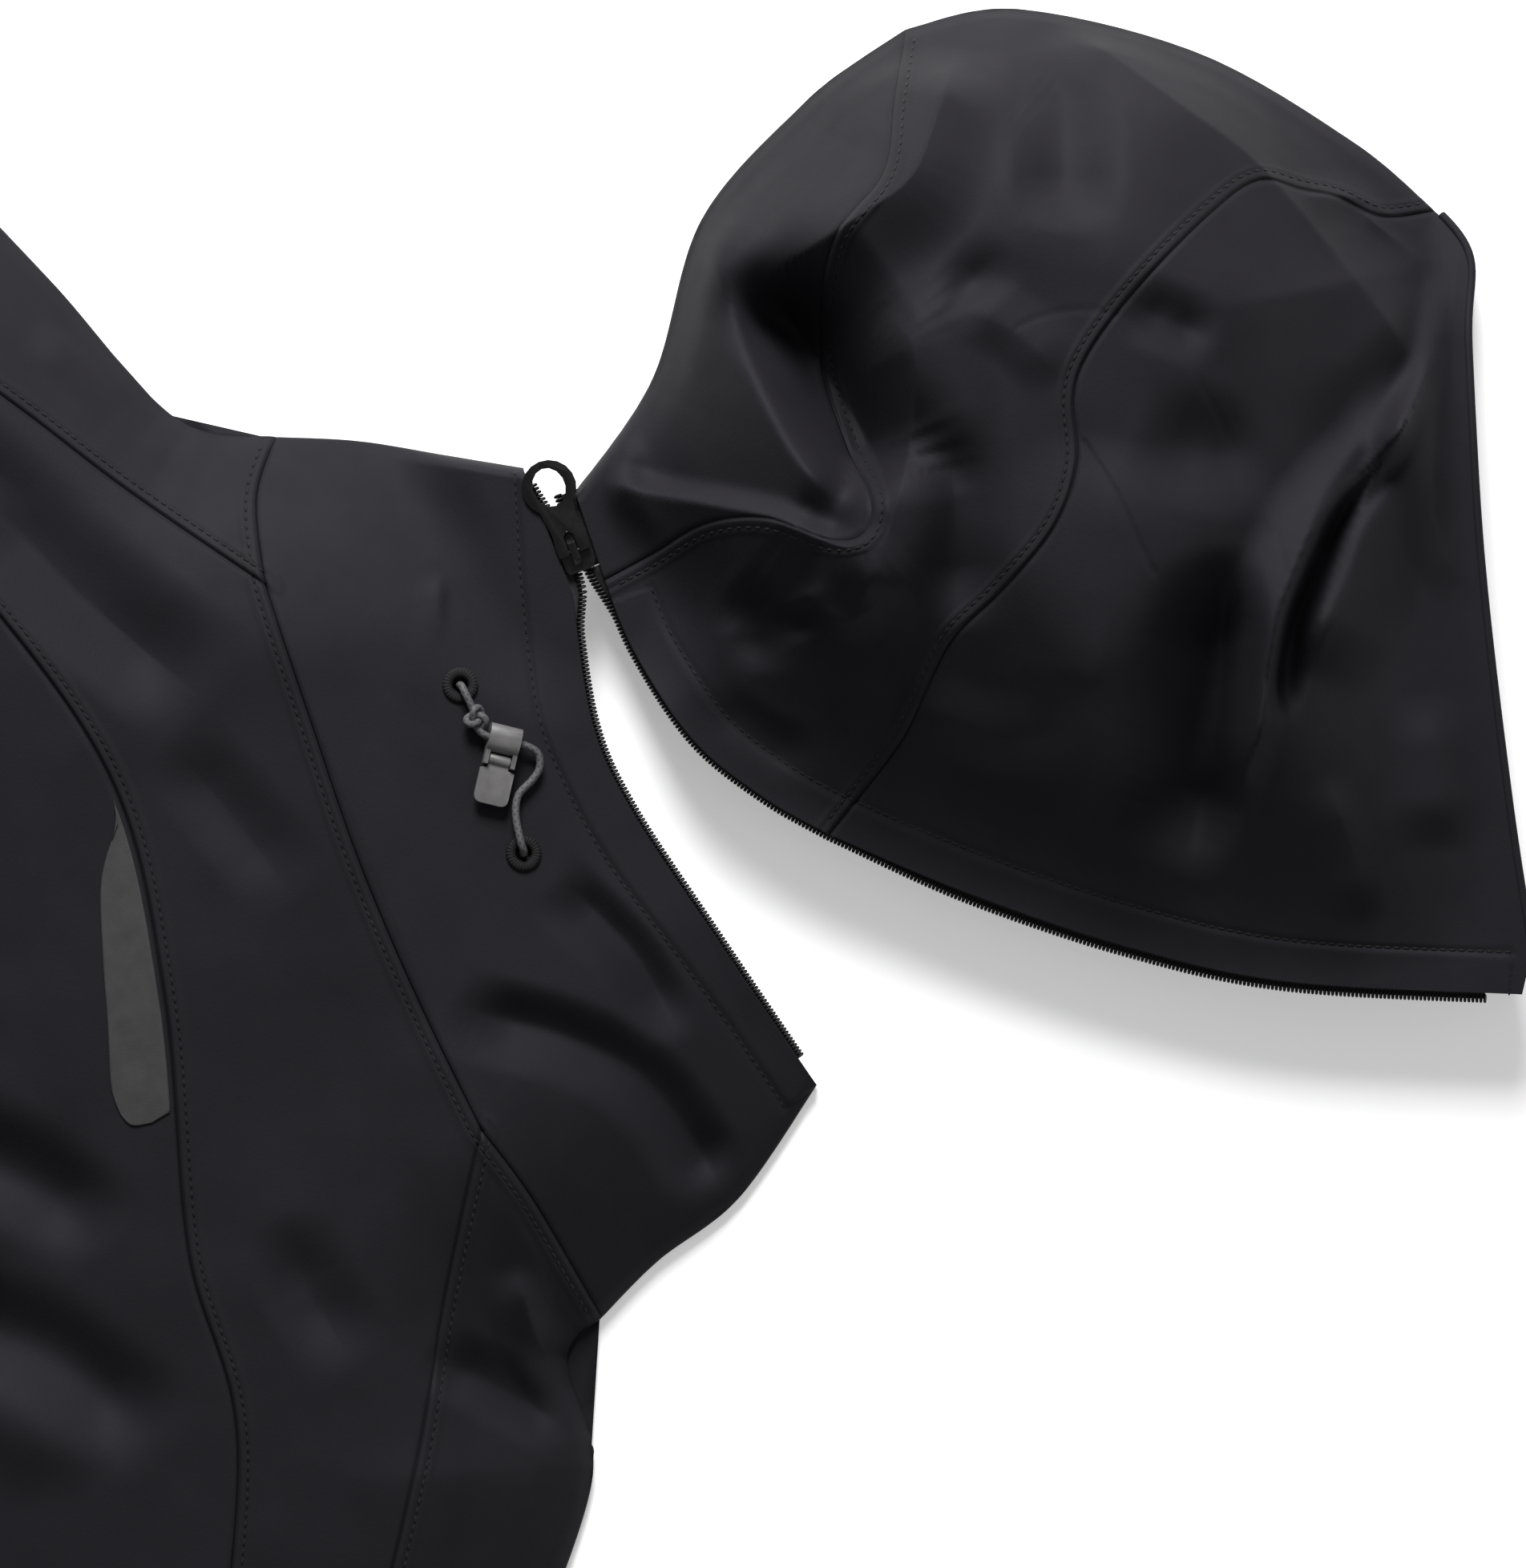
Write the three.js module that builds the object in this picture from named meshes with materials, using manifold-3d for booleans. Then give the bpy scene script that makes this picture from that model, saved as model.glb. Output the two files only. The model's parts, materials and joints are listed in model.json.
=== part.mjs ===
// Hardshell jacket, laid face down on level ground: back panels on top, front panels and zips below.
// Millimetres, +Z up, +Y from the hem to the hood, +X to the wearer's right.
// Outlines are drawn round the nape, the middle of the back neck seam. The finished group is moved so
// that its origin is the bottom centre of the whole jacket.
import * as THREE from "three";
import { mergeVertices } from "three/addons/utils/BufferGeometryUtils.js";
import Module from "manifold-3d";

const wasm = await Module();
wasm.setup();

// ---------- driving sizes ----------
const CHEST = 584; // flat width at the underarms
const HEM_WIDTH = 576; // flat width at the hem
const BODY_LENGTH = 700; // nape to the hem at the side seams
const HEM_DROP = 14; // the hem hangs this much lower in the middle
const SHOULDER = 500; // shoulder point to shoulder point
const SHOULDER_DROP = 46; // nape down to the shoulder points
const ARMHOLE_DEPTH = 262; // nape down to the underarms
const SLEEVE_LENGTH = 668; // shoulder point to cuff
const SLEEVE_ANGLE = 57.5; // outer edge of the sleeve below the horizontal, degrees
const CUFF_WIDTH = 116; // flat
const COLLAR_HEIGHT = 88; // neck seam to the collar's top edge
const FRONT_NECK_DROP = 72; // nape down to the front neck seam
const HOOD_SCALE = 1; // size of the hood
const SHELL = 2.0; // thickness of the upper layer
const UNDER = 1.6; // thickness of the lower layer
const LAYER_GAP = 0.6; // air between the two layers at a folded edge
const SEAM_GAP = 0.8; // each panel stops this far short of its seam line
const LOFT = 34; // how high the upper layer stands over the lower
const REACH = 75; // distance from a folded edge at which it reaches that height
const HEM_SHARE = 0.6; // share of the loft left at the hem
const CUFF_SHARE = 0.85; // and at the cuffs
const COLLAR_SHARE = 0.42; // and at the collar's top edge
const HOOD_LOFT = 78; // how high the hood stands
const HOOD_REACH = 85;
const HOOD_EDGE_SHARE = 0.27; // share of the hood's loft left at its open edges
const HOOD_EDGE_REACH = 105;
const TRIM_GAP = 0.4; // under anything that lies on the cloth

// Zips, measured from the middle plane of the chain
const CHAIN_Z = 6.3; // height of the middle plane of the front and pocket zips
const CHAIN_HALF = 1.2; // half the chain's thickness
const CHAIN_IN = 0.8; // centre line to each half of the chain
const CHAIN_OUT = 3.2;
const TAPE_HALF = 0.4;
const TAPE_UNDER = 6; // tape hidden under the cloth
const FABRIC_BACK = 5.4; // centre line to the edge of the cloth
const TAPE_DROP = 1.15; // underside of the cloth down to the middle plane
const PLATE_GAP = 0.35; // chain to slider plate
const PLATE = 1.1; // slider plate thickness
const SLIDER_LENGTH = 13;
const SLIDER_HALF = 4.8;
const WEB = 1.0; // the wall between the slider's plates
const FLANGE_IN = 3.9;
const FLANGE_GAP = 0.75; // middle plane to the flanges
const BAIL_REACH = 4.2;
const BAIL_WIDTH = 2.4;
const BAIL_BAND = 0.9;
const PIN_R = 0.75;
const PIN_HEIGHT = 1.5; // pin axis above the plate
const PULL_THICK = 1.5;
const PULL_LENGTH = 30;
const RING_R = 8.6;
const RING_HOLE = [6.2, 5.1]; // half sizes of the finger hole, along and across
const PLATE_TOP = CHAIN_HALF + PLATE_GAP + PLATE;
const PIN_Z = PLATE_TOP + PIN_HEIGHT;

// Hood zip
const SLIDER_AT = [-66, COLLAR_HEIGHT + FABRIC_BACK]; // from the nape
const CLOSED_FROM = -84; // ends of the level stretch where the zip is closed
const CLOSED_TO = -54;
const SHELF = 18; // the cloth stays level this far round it
const SHELF_BLEND = 30; // and meets the rest over this distance

// Adjuster and trims
const CORD_R = 1.2;
const CORD_ROOM = 0.4; // round the cord where it passes through something
const EYELETS = [[-40, 45], [16, 44]];
const EYELET_HOLE = 2.3;
const EYELET_R = 5.2;
const EYELET_THICK = 1.0;
const PATCH_THICK = 0.6;
const LOCK = { length: 9, width: 10, height: 6.6, pinX: 6.7, pinZ: 2.9, pinR: 0.9, tab: 14, tabHalf: 5.5 };
const HINGE_ROOM = 0.3; // round the pins of the small plastic parts
const TAB_LENGTH = 72; // cuff tab
const TAB_WIDTH = 27;
const TAB_THICK = 2.2;
const TAB_FROM = 22; // outer edge of the sleeve to the tab's sewn end
const TAB_UP = 34; // cuff edge to the middle of the tab
const POCKET_LENGTH = 165;
const POCKET_AT = 158; // front zip to the top of each hand pocket
const POCKET_TOP = 330; // nape down to the top of the pocket
const POCKET_LEAN = 14; // degrees
const BINDING = 3.4; // width of the band round the hood's face opening

const EDGE = UNDER + LAYER_GAP; // underside of the upper layer at a folded edge
const CURL = CHAIN_Z - TAPE_HALF - TRIM_GAP - UNDER; // underside of the lower layer at the zips
const LEFT = -1;
const RIGHT = 1;
const SIDES = [LEFT, RIGHT];
const side = (s) => (s === LEFT ? "left" : "right");

// ---------- materials ----------
const looks = (color, roughness, metalness = 0) =>
  new THREE.MeshStandardMaterial({ color, roughness, metalness });
const shellCloth = looks(0x232227, 0.62);
const liningCloth = looks(0x2b2a2f, 0.9);
const zipTape = looks(0x141416, 0.8);
const enamel = looks(0x0b0b0c, 0.3, 0.6);
const plastic = looks(0x4c4c50, 0.5);
const elastic = looks(0x3a3a3e, 0.85);
const rubber = looks(0x2a2a2c, 0.55);
const reflective = looks(0x3b3c3d, 0.4, 0.1);

// ---------- small helpers ----------
const mix = (a, b, t) => a + (b - a) * t;
const clamp01 = (t) => Math.min(1, Math.max(0, t));
const smooth = (t) => clamp01(t) ** 2 * (3 - 2 * clamp01(t));
const rad = THREE.MathUtils.degToRad;
const vec = ([x, y]) => new THREE.Vector2(x, y);
const spline = (...points) => new THREE.SplineCurve(points.map(vec));
const line = (a, b) => new THREE.LineCurve(vec(a), vec(b));

// Several curves end to end, as one curve.
function chain(...curves) {
  const path = new THREE.CurvePath();
  curves.forEach((c) => path.add(c));
  return path;
}

// A curve as a few straight pieces, so that the panels on both sides of a seam turn at the same points.
function facets(curve, count) {
  const points = curve.getPoints(count);
  return points.slice(1).map((b, i) => new THREE.LineCurve(points[i], b));
}

// The same curve run the other way.
function reversed(curve, steps = 20) {
  return new THREE.SplineCurve(curve.getPoints(steps).reverse());
}

// Shortest distance from (x, y) to any of the polylines.
function distanceTo(polylines, x, y) {
  let best = Infinity;
  for (const points of polylines) {
    for (let i = 1; i < points.length; i += 1) {
      const a = points[i - 1];
      const dx = points[i].x - a.x;
      const dy = points[i].y - a.y;
      const t = clamp01(((x - a.x) * dx + (y - a.y) * dy) / (dx * dx + dy * dy));
      best = Math.min(best, Math.hypot(x - a.x - t * dx, y - a.y - t * dy));
    }
  }
  return best;
}

// Cloth rises from a folded edge in a rounded slope and then lies level.
const lift = (distance, reach) => 1 - (1 - Math.min(distance / reach, 1)) ** 2;

// The point a distance away from another, at an angle below the horizontal, on side s.
const below = (s, degrees, distance, [x, y]) =>
  [x + s * distance * Math.cos(rad(degrees)), y - distance * Math.sin(rad(degrees))];

// The point part of the way from a to b, moved sideways off the line between them.
function beside(a, b, t, off) {
  const [dx, dy] = [b[0] - a[0], b[1] - a[1]];
  const length = Math.hypot(dx, dy);
  return [a[0] + dx * t - dy / length * off, a[1] + dy * t + dx / length * off];
}

// ---------- outlines of the body, seen from above ----------
const tall = COLLAR_HEIGHT / 88;
const wide = SHOULDER / 500;
const shoulderPoint = (s) => [s * SHOULDER / 2, -SHOULDER_DROP];
const underarm = (s) => [s * CHEST / 2, -ARMHOLE_DEPTH];
const hemCorner = (s) => [s * HEM_WIDTH / 2, -BODY_LENGTH];
const hemMiddle = [0, -BODY_LENGTH - HEM_DROP];
const cuffOuter = (s) => below(s, SLEEVE_ANGLE, SLEEVE_LENGTH, shoulderPoint(s));
const cuffInner = (s) => below(-s, 87.5 - SLEEVE_ANGLE, CUFF_WIDTH, cuffOuter(s));
const armholeTop = (s) => [s * (SHOULDER / 2 - 1), -SHOULDER_DROP - 59]; // outer end of the shoulder seam
const yokeEnd = (s) => [s * (SHOULDER / 2 + 4), -SHOULDER_DROP - 112];
const neckEnd = (s) => [s * 91, 0.5]; // shoulder seam meets neck seam
const collarBase = { [LEFT]: [-135, 19], [RIGHT]: [161, 12] };
const collarTop = { [LEFT]: [-97, 88 * tall], [RIGHT]: [118, 102 * tall] };
const frontNeck = (s) => [s * FABRIC_BACK, -FRONT_NECK_DROP];
const frontTop = (s) => [s * FABRIC_BACK, COLLAR_HEIGHT - 8 - FRONT_NECK_DROP];
const frontHem = (s) => [s * FABRIC_BACK, -BODY_LENGTH - HEM_DROP];

const shoulderEdge = {
  [LEFT]: spline(collarBase[LEFT], [-152, -8], [-205 * wide, -28], shoulderPoint(LEFT)),
  [RIGHT]: spline(collarBase[RIGHT], [169, -3], [206 * wide, -9], shoulderPoint(RIGHT)),
};
const collarSide = {
  [LEFT]: spline(collarBase[LEFT], [-124, 43 * tall], [-109, 68 * tall], collarTop[LEFT]),
  [RIGHT]: spline(collarBase[RIGHT], [151, 35 * tall], [142, 66 * tall], collarTop[RIGHT]),
};
const neckSide = (s) => spline(neckEnd(s), [s * 118, 7], collarBase[s]);
const neckMiddle = spline(neckEnd(LEFT), [-45, -2], [0, -4], [45, -3], neckEnd(RIGHT));
const collarEdge = chain(
  line(collarTop[LEFT], [CLOSED_TO, 88 * tall]),
  spline([CLOSED_TO, 88 * tall], [-15, 79 * tall], [15, 80 * tall], [63, 90 * tall], collarTop[RIGHT]),
);
const shoulderSeam = (s) => spline(neckEnd(s), [s * 136, -30], [s * 182 * wide, -58], armholeTop(s));
const yokeSeam = spline(
  yokeEnd(LEFT), [-170, -104], [-114, -80], [-49, -66], [18, -76], [93, -98], [157, -107], yokeEnd(RIGHT),
);
const sideSeam = (s) => spline(hemCorner(s), [s * CHEST * 0.486, -BODY_LENGTH * 0.68], underarm(s));
const armholeLow = (s) => spline(underarm(s), [s * (SHOULDER / 2 + 26), -ARMHOLE_DEPTH + 58], yokeEnd(s));
const armholeMid = (s) => line(yokeEnd(s), armholeTop(s));
const armholeHigh = (s) => line(armholeTop(s), shoulderPoint(s));
const armhole = (s) => [...facets(armholeLow(s), 3), armholeMid(s), armholeHigh(s)];
const sleeveOuter = (s) => {
  const [a, b] = [shoulderPoint(s), cuffOuter(s)];
  return spline(a, beside(a, b, 0.15, s * 30), beside(a, b, 0.43, s * 30), beside(a, b, 0.78, s * 11), b);
};
const sleeveInner = (s) =>
  spline(underarm(s), beside(underarm(s), cuffInner(s), 0.5, -s * 6), cuffInner(s));
const cuffEdge = (s) => line(cuffInner(s), cuffOuter(s));
const hemHalf = (s) => spline(hemCorner(s), [s * HEM_WIDTH / 4, hemMiddle[1] + 4], frontHem(s));
const hemEdge = spline(hemCorner(LEFT), [-HEM_WIDTH / 4, hemMiddle[1] + 4], hemMiddle,
  [HEM_WIDTH / 4, hemMiddle[1] + 4], hemCorner(RIGHT));
const frontNeckSeam = (s) =>
  spline(collarBase[s], [s * 104, -30], [s * 52, -FRONT_NECK_DROP + 12], frontNeck(s));
const frontCollarTop = (s) =>
  spline(collarTop[s], [s * 68, 50 * tall], [s * 34, frontTop(s)[1] + 10], frontTop(s));

// ---------- outlines of the hood, which grows from the end of the closed zip ----------
const hoodRoot = [CLOSED_TO, SLIDER_AT[1] + FABRIC_BACK];
const hoodPoint = ([x, y]) =>
  [hoodRoot[0] + (x + 54) * HOOD_SCALE, hoodRoot[1] + (y - 98.8) * HOOD_SCALE];
const hoodSpline = (...points) => spline(...points.map(hoodPoint));
const hoodLine = (a, b) => line(hoodPoint(a), hoodPoint(b));
const zipNear = hoodSpline([-54, 98.8], [-30, 99], [3, 106], [28, 120], [46, 134.5]);
const zipFar = hoodSpline([46, 134.5], [78, 167], [112, 207], [141, 250], [172, 317]);
const crownNear = spline([CLOSED_FROM, hoodRoot[1]],
  ...[[-108, 136], [-149, 169], [-171, 212], [-178, 236]].map(hoodPoint));
const crownTip = hoodLine([-178, 236], [-181, 251]);
const crownFar = hoodSpline([-181, 251], [-174, 286], [-140, 334], [-96, 369], [-66, 385]);
const faceEdge = hoodSpline([-66, 385], [-48, 388], [-22, 376], [40, 355], [114, 335], [162, 324]);
const faceTip = hoodLine([172, 317], [162, 324]);
const seamLeft = hoodSpline([-54, 98.8], [-59, 134], [-78, 172], [-118, 205], [-181, 251]);
const seamRight = hoodSpline([46, 134.5], [21, 176], [-14, 222], [-52, 270], [-78, 322], [-66, 385]);
const hoodFront = line([CLOSED_FROM, hoodRoot[1]], hoodRoot);

// ---------- heights ----------
const sampled = (curve) => curve.getPoints(20);
const bodyFolds = SIDES.flatMap((s) => [
  collarSide[s], shoulderEdge[s], sleeveOuter(s), sleeveInner(s), sideSeam(s),
]).map(sampled);
const cuffLines = SIDES.map((s) => sampled(cuffEdge(s)));
const hoodFolds = [crownNear, crownTip, crownFar].map(sampled);
const hoodOpenings = [zipNear, zipFar, faceTip, faceEdge].map(sampled);
const closedStretch = [[vec([collarTop[LEFT][0], SLIDER_AT[1]]), vec([CLOSED_TO, SLIDER_AT[1]])]];
const SHELF_Z = EDGE + LOFT * COLLAR_SHARE;
const shelved = (z, x, y) =>
  mix(SHELF_Z, z, smooth((distanceTo(closedStretch, x, y) - SHELF) / SHELF_BLEND));

// Underside of the jacket's upper layer.
function bodyZ(x, y) {
  let rise = LOFT * lift(distanceTo(bodyFolds, x, y), REACH);
  rise *= mix(HEM_SHARE, 1, smooth((y + BODY_LENGTH + HEM_DROP) / 130));
  rise *= mix(1, COLLAR_SHARE, clamp01(y / COLLAR_HEIGHT));
  rise *= mix(CUFF_SHARE, 1, smooth(distanceTo(cuffLines, x, y) / 90));
  return shelved(EDGE + rise, x, y);
}

// Underside of the jacket's lower layer, which lies on the ground at its edges.
const lowerZ = (x, y) => CURL * smooth(distanceTo(bodyFolds, x, y) / 48);

// Underside of the hood's upper layer.
function hoodZ(x, y) {
  const rise = HOOD_LOFT * lift(distanceTo(hoodFolds, x, y), HOOD_REACH * HOOD_SCALE);
  const open = smooth(distanceTo(hoodOpenings, x, y) / (HOOD_EDGE_REACH * HOOD_SCALE));
  return shelved(EDGE + rise * mix(HOOD_EDGE_SHARE, 1, open), x, y);
}

// ---------- solids ----------
// A geometry from points and triangles, with its faces turned outwards.
function closed(points, faces) {
  let volume = 0;
  const [a, b, c] = [new THREE.Vector3(), new THREE.Vector3(), new THREE.Vector3()];
  for (const [i, j, k] of faces) {
    a.fromArray(points[i]);
    b.fromArray(points[j]);
    c.fromArray(points[k]);
    volume += a.dot(b.cross(c));
  }
  const out = volume < 0 ? faces.map(([i, j, k]) => [i, k, j]) : faces;
  const g = new THREE.BufferGeometry();
  g.setAttribute("position", new THREE.Float32BufferAttribute(points.flat(), 3));
  g.setIndex(out.flat());
  g.computeVertexNormals();
  return g;
}

// Where along its length a chain turns its corners.
const corners = (curve) =>
  (curve.getCurveLengths ? curve.getCurveLengths().map((l) => l / curve.getLength()) : []);

// Steps along two facing edges: finer near both ends, where cloth turns down, and one at every corner.
function stations(count, ...curves) {
  const apart = (marks, t) => marks.every((other) => Math.abs(other - t) > 0.45 / count);
  const marks = [0, 1];
  for (const t of curves.flatMap(corners)) if (apart(marks, t)) marks.push(t);
  const fixed = [...marks];
  for (let i = 1; i < count; i += 1) {
    const t = mix(i / count, 0.5 - 0.5 * Math.cos(Math.PI * i / count), 0.6);
    if (apart(fixed, t)) marks.push(t);
  }
  return marks.sort((a, b) => a - b);
}

// The surface between four boundary curves: low and high run the same way, and so do start and end.
function coons({ low, high, start, end }) {
  const [p00, p10, p01, p11] = [low.getPoint(0), low.getPoint(1), high.getPoint(0), high.getPoint(1)];
  return (u, v) => {
    const [a, b, c, d] = [low.getPoint(u), high.getPoint(u), start.getPoint(v), end.getPoint(v)];
    return ["x", "y"].map((k) =>
      mix(a[k], b[k], v) + mix(c[k], d[k], u) - mix(mix(p00[k], p10[k], u), mix(p01[k], p11[k], u), v));
  };
}

// A sheet of cloth between four curves, its underside at lower(x, y), drawn in by gap all round.
function sheet(edges, [stepsAcross, stepsAlong], lower, thick, gap = SEAM_GAP) {
  const surface = coons(edges);
  const us = stations(stepsAcross, edges.low, edges.high);
  const vs = stations(stepsAlong, edges.start, edges.end);
  const [nu, nv] = [us.length - 1, vs.length - 1];
  const grid = vs.flatMap((v) => us.map((u) => surface(u, v)));
  const at = (i, j) => j * (nu + 1) + i;
  const rim = [];
  for (let i = 0; i < nu; i += 1) rim.push(at(i, 0));
  for (let j = 0; j < nv; j += 1) rim.push(at(nu, j));
  for (let i = nu; i > 0; i -= 1) rim.push(at(i, nv));
  for (let j = nv; j > 0; j -= 1) rim.push(at(0, j));
  const outline = rim.map((k) => vec(grid[k]));
  const inwards = Math.sign(THREE.ShapeUtils.area(outline));
  const drawn = grid.map((p) => [...p]);
  rim.forEach((k, i) => {
    const before = outline[i].clone().sub(outline.at(i - 1)).normalize();
    const after = outline[(i + 1) % rim.length].clone().sub(outline[i]).normalize();
    const reach = inwards * gap / Math.max(1 + before.dot(after), 0.3);
    drawn[k][0] -= reach * (before.y + after.y);
    drawn[k][1] += reach * (before.x + after.x);
  });
  const points = [0, thick].flatMap((up) => drawn.map(([x, y]) => [x, y, lower(x, y) + up]));
  const top = drawn.length;
  const faces = [];
  const quad = (a, b, c, d) => faces.push([a, b, c], [a, c, d]);
  const turn = (...ks) => inwards * THREE.ShapeUtils.area(ks.map((k) => vec(drawn[k])));
  for (let j = 0; j < nv; j += 1) {
    for (let i = 0; i < nu; i += 1) {
      let [a, b, c, d] = [at(i, j), at(i + 1, j), at(i + 1, j + 1), at(i, j + 1)];
      if (Math.min(turn(a, b, c), turn(a, c, d)) < 0) [a, b, c, d] = [b, c, d, a]; // split the other way
      quad(a + top, b + top, c + top, d + top);
      faces.push([a, c, b], [a, d, c]);
    }
  }
  rim.forEach((a, k) => {
    const b = rim[(k + 1) % rim.length];
    quad(a, b, b + top, a + top);
  });
  return closed(points, faces);
}

// A profile of [outward, up] points carried along a path of [x, y, z]; outward is to the left of the path.
function carried(path, profile) {
  const points = path.flatMap((p, i) => {
    const a = path[Math.max(i - 1, 0)];
    const b = path[Math.min(i + 1, path.length - 1)];
    const length = Math.hypot(b[0] - a[0], b[1] - a[1]);
    const [ox, oy] = [(a[1] - b[1]) / length, (b[0] - a[0]) / length];
    return profile.map(([n, k]) => [p[0] + ox * n, p[1] + oy * n, p[2] + k]);
  });
  const m = profile.length;
  const faces = [];
  for (let i = 0; i + 1 < path.length; i += 1) {
    for (let k = 0; k < m; k += 1) {
      const [a, b, c, d] = [i * m + k, i * m + (k + 1) % m, (i + 1) * m + (k + 1) % m, (i + 1) * m + k];
      faces.push([a, b, c], [a, c, d]);
    }
  }
  const last = (path.length - 1) * m;
  const turned = THREE.ShapeUtils.area(profile.map(vec)) > 0 ? profile.map(vec) : profile.map(vec).reverse();
  const same = turned[0].x === profile[0][0] && turned[0].y === profile[0][1];
  const index = (i) => (same ? i : m - 1 - i);
  for (const [a, b, c] of THREE.ShapeUtils.triangulateShape(turned, [])) {
    const tri = same ? [index(a), index(b), index(c)] : [index(c), index(b), index(a)];
    faces.push([tri[2], tri[1], tri[0]], tri.map((i) => i + last));
  }
  return closed(points, faces);
}

// Points of [x, y, z] along part of a curve.
function track(curve, from, to, steps, height) {
  const points = [];
  for (let i = 0; i <= steps; i += 1) {
    const { x, y } = curve.getPoint(mix(from, to, i / steps));
    points.push([x, y, height(x, y)]);
  }
  return points;
}

function solid(geometry) {
  const bare = geometry.index ? geometry.toNonIndexed() : geometry.clone();
  bare.deleteAttribute("normal");
  bare.deleteAttribute("uv");
  const merged = mergeVertices(bare, 1e-4);
  return new wasm.Manifold(new wasm.Mesh({
    numProp: 3,
    vertProperties: merged.attributes.position.array,
    triVerts: new Uint32Array(merged.index.array),
  }));
}

function geometryOf(made) {
  const m = made.getMesh();
  const g = new THREE.BufferGeometry();
  g.setAttribute("position", new THREE.BufferAttribute(m.vertProperties.slice(), 3));
  g.setIndex(new THREE.BufferAttribute(m.triVerts.slice(), 1));
  return g;
}

const joined = (...bodies) => geometryOf(bodies.map(solid).reduce((a, b) => a.add(b)));
const cut = (body, ...tools) => geometryOf(tools.map(solid).reduce((a, b) => a.subtract(b), solid(body)));
const box = (sx, sy, sz, [x, y, z]) => new THREE.BoxGeometry(sx, sy, sz).translate(x, y, z);
const plate = (shape, thick, z, curveSegments = 8) =>
  new THREE.ExtrudeGeometry(shape, { depth: thick, bevelEnabled: false, curveSegments }).translate(0, 0, z);
const rod = (radius, length, sides = 16) => new THREE.CylinderGeometry(radius, radius, length, sides);

const jacket = new THREE.Group();
function add(name, geometry, material, parent = jacket) {
  const mesh = new THREE.Mesh(geometry, material);
  mesh.name = name;
  parent.add(mesh);
  return mesh;
}

// A group whose X axis lies along one direction and whose Z axis along another.
function placed([x, y, z], alongX, alongZ) {
  const group = new THREE.Group();
  const [ax, az] = [new THREE.Vector3(...alongX).normalize(), new THREE.Vector3(...alongZ).normalize()];
  group.quaternion.setFromRotationMatrix(
    new THREE.Matrix4().makeBasis(ax, new THREE.Vector3().crossVectors(az, ax), az));
  group.position.set(x, y, z);
  jacket.add(group);
  return group;
}

// ---------- body: upper layer ----------
add("back_yoke", sheet({
  low: yokeSeam,
  high: neckMiddle,
  start: chain(armholeMid(LEFT), reversed(shoulderSeam(LEFT))),
  end: chain(armholeMid(RIGHT), reversed(shoulderSeam(RIGHT))),
}, [14, 6], bodyZ, SHELL), shellCloth);

add("back_panel", sheet({
  low: hemEdge,
  high: yokeSeam,
  start: chain(sideSeam(LEFT), ...facets(armholeLow(LEFT), 3)),
  end: chain(sideSeam(RIGHT), ...facets(armholeLow(RIGHT), 3)),
}, [14, 16], bodyZ, SHELL), shellCloth);

const eyeletHoles = EYELETS.map(([x, y]) =>
  rod(EYELET_HOLE, 4 * SHELL).rotateX(Math.PI / 2).translate(x, y, bodyZ(x, y) + SHELL / 2));
add("collar_back", cut(sheet({
  low: chain(reversed(neckSide(LEFT)), neckMiddle, neckSide(RIGHT)),
  high: collarEdge,
  start: collarSide[LEFT],
  end: collarSide[RIGHT],
}, [18, 5], bodyZ, SHELL), ...eyeletHoles), shellCloth);

for (const s of SIDES) {
  add(`${side(s)}_front_yoke`, sheet({
    low: shoulderSeam(s),
    high: shoulderEdge[s],
    start: neckSide(s),
    end: armholeHigh(s),
  }, [8, 4], bodyZ, SHELL), shellCloth);
  add(`${side(s)}_sleeve_upper`, sheet({
    low: sleeveInner(s),
    high: sleeveOuter(s),
    start: chain(...armhole(s)),
    end: cuffEdge(s),
  }, [10, 11], bodyZ, SHELL), shellCloth);
}

// ---------- body: lower layer ----------
const pocketTop = (s) => [s * POCKET_AT, -POCKET_TOP];
const pocketEnd = (s) => below(s, 90 - POCKET_LEAN, POCKET_LENGTH, pocketTop(s));
const pocketMiddle = (s) => [0, 1].map((k) => (pocketTop(s)[k] + pocketEnd(s)[k]) / 2);

for (const s of SIDES) {
  const slot = box(2 * FABRIC_BACK, POCKET_LENGTH, 40, [0, 0, 0]).rotateZ(s * rad(POCKET_LEAN));
  slot.translate(...pocketMiddle(s), 0);
  add(`${side(s)}_front_panel`, cut(sheet({
    low: hemHalf(s),
    high: chain(reversed(shoulderEdge[s]), ...facets(frontNeckSeam(s), 5)),
    start: chain(sideSeam(s), ...armhole(s)),
    end: line(frontHem(s), frontNeck(s)),
  }, [8, 18], lowerZ, UNDER), slot), shellCloth);
  add(`${side(s)}_sleeve_under`, sheet({
    low: sleeveInner(s),
    high: sleeveOuter(s),
    start: chain(...armhole(s)),
    end: cuffEdge(s),
  }, [6, 10], lowerZ, UNDER), shellCloth);
  add(`${side(s)}_collar_front`, sheet({
    low: chain(...facets(frontNeckSeam(s), 5)),
    high: frontCollarTop(s),
    start: collarSide[s],
    end: line(frontNeck(s), frontTop(s)),
  }, [8, 4], lowerZ, UNDER), shellCloth);
}

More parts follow.
